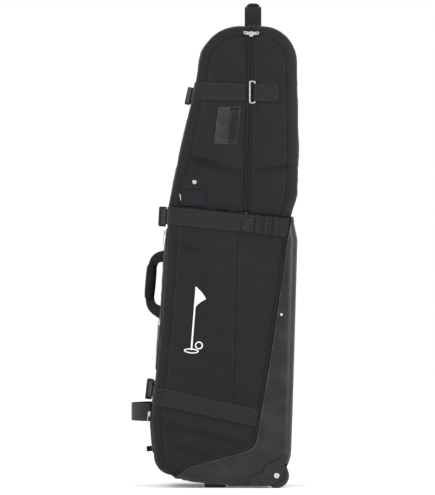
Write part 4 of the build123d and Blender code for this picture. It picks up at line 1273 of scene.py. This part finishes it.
def make_inner_strap():
    low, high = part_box("inner_strap")
    z = (low.z + high.z) / 2
    middle = (low + high) / 2
    radius = 20 * MM
    half_x, half_y = (high.x - low.x) / 2 - WEB, (high.y - low.y) / 2 - WEB
    path = []
    for quarter, (a, b) in enumerate(((1, 1), (-1, 1), (-1, -1), (1, -1))):
        for turn in np.linspace(0, math.pi / 2, 7):
            angle = quarter * math.pi / 2 + turn
            path.append(Vector((middle.x + a * (half_x - radius) + radius * math.cos(angle),
                                b * (half_y - radius) + radius * math.sin(angle), z)))
    path.append(path[0].copy())
    ribbon("inner_strap_band", resample(path, 8 * MM), Z, "bag", replaces=("inner_strap",))


# ---------------------------------------------------------------- scene
def make_stage():
    size = 14.0
    points = [(-size, -size, 0), (size, -size, 0), (size, size, 0), (-size, size, 0)]
    mesh = mesh_of("floor", points, [(0, 1, 2, 3)])
    floor = bpy.data.objects.new("floor", mesh)
    bpy.context.scene.collection.objects.link(floor)
    shader = Shader("pale_floor", (0.9, 0.9, 0.9), 0.7, Emission_Color=(1, 1, 1, 1), Emission_Strength=0.14,
                    Specular_IOR_Level=0.1)
    mesh.materials.append(shader.material)


def add_light(name, place, target, size, energy):
    data = bpy.data.lights.new(name, "AREA")
    data.shape = "RECTANGLE"
    data.size, data.size_y = size
    data.energy = energy
    lamp = bpy.data.objects.new(name, data)
    bpy.context.scene.collection.objects.link(lamp)
    lamp.location = place
    lamp.rotation_euler = (Vector(target) - Vector(place)).to_track_quat("-Z", "Y").to_euler()


def make_light():
    world = bpy.data.worlds.new("studio")
    bpy.context.scene.world = world
    world.use_nodes = True
    background = world.node_tree.nodes["Background"]
    background.inputs["Color"].default_value = (1, 1, 1, 1)
    background.inputs["Strength"].default_value = 1.0
    add_light("key", (-2.2, -3.4, 3.0), (0, 0, 0.8), (1.8, 2.4), 110)
    add_light("rim", (2.6, -1.2, 1.6), (0.1, 0, 0.6), (0.7, 2.6), 60)
    bpy.context.scene.view_settings.view_transform = "Standard"


def make_camera():
    """Square to the left side, from far enough away that the view is nearly flat."""
    data = bpy.data.cameras.new("camera")
    camera = bpy.data.objects.new("camera", data)
    bpy.context.scene.collection.objects.link(camera)
    bpy.context.scene.camera = camera
    data.lens = 400
    data.sensor_width = 36
    low, high = CAD_BOX
    view_height = (high.z - low.z) * VIEW_MARGIN
    distance = view_height * data.lens / data.sensor_width
    camera.location = ((low.x + high.x) / 2 + 8 * MM, low.y / 2 - distance, view_height * 0.484)
    camera.rotation_euler = (math.pi / 2, 0, 0)
    data.clip_end = 100


def main():
    dress_cad_nodes()
    lower, hood = make_blocks()
    make_cloth(lower, hood)
    make_straps(lower, hood)
    make_piping(lower, hood)
    make_zip(hood)
    make_top_handle()
    make_carry_handle()
    make_grab_loop(lower)
    make_buckle_webbing(lower, hood)
    make_small_things(lower, hood)
    make_side_seam(lower)
    make_keepers(lower)
    make_card_edge_highlight(hood)
    make_label_half(hood)
    make_shell_edge_highlight(lower)
    make_shell_rivet()
    make_inner_strap()
    for stitching in STITCHES.values():
        if stitching.points:
            stitching.make()
    make_stage()
    make_light()
    make_camera()


main()
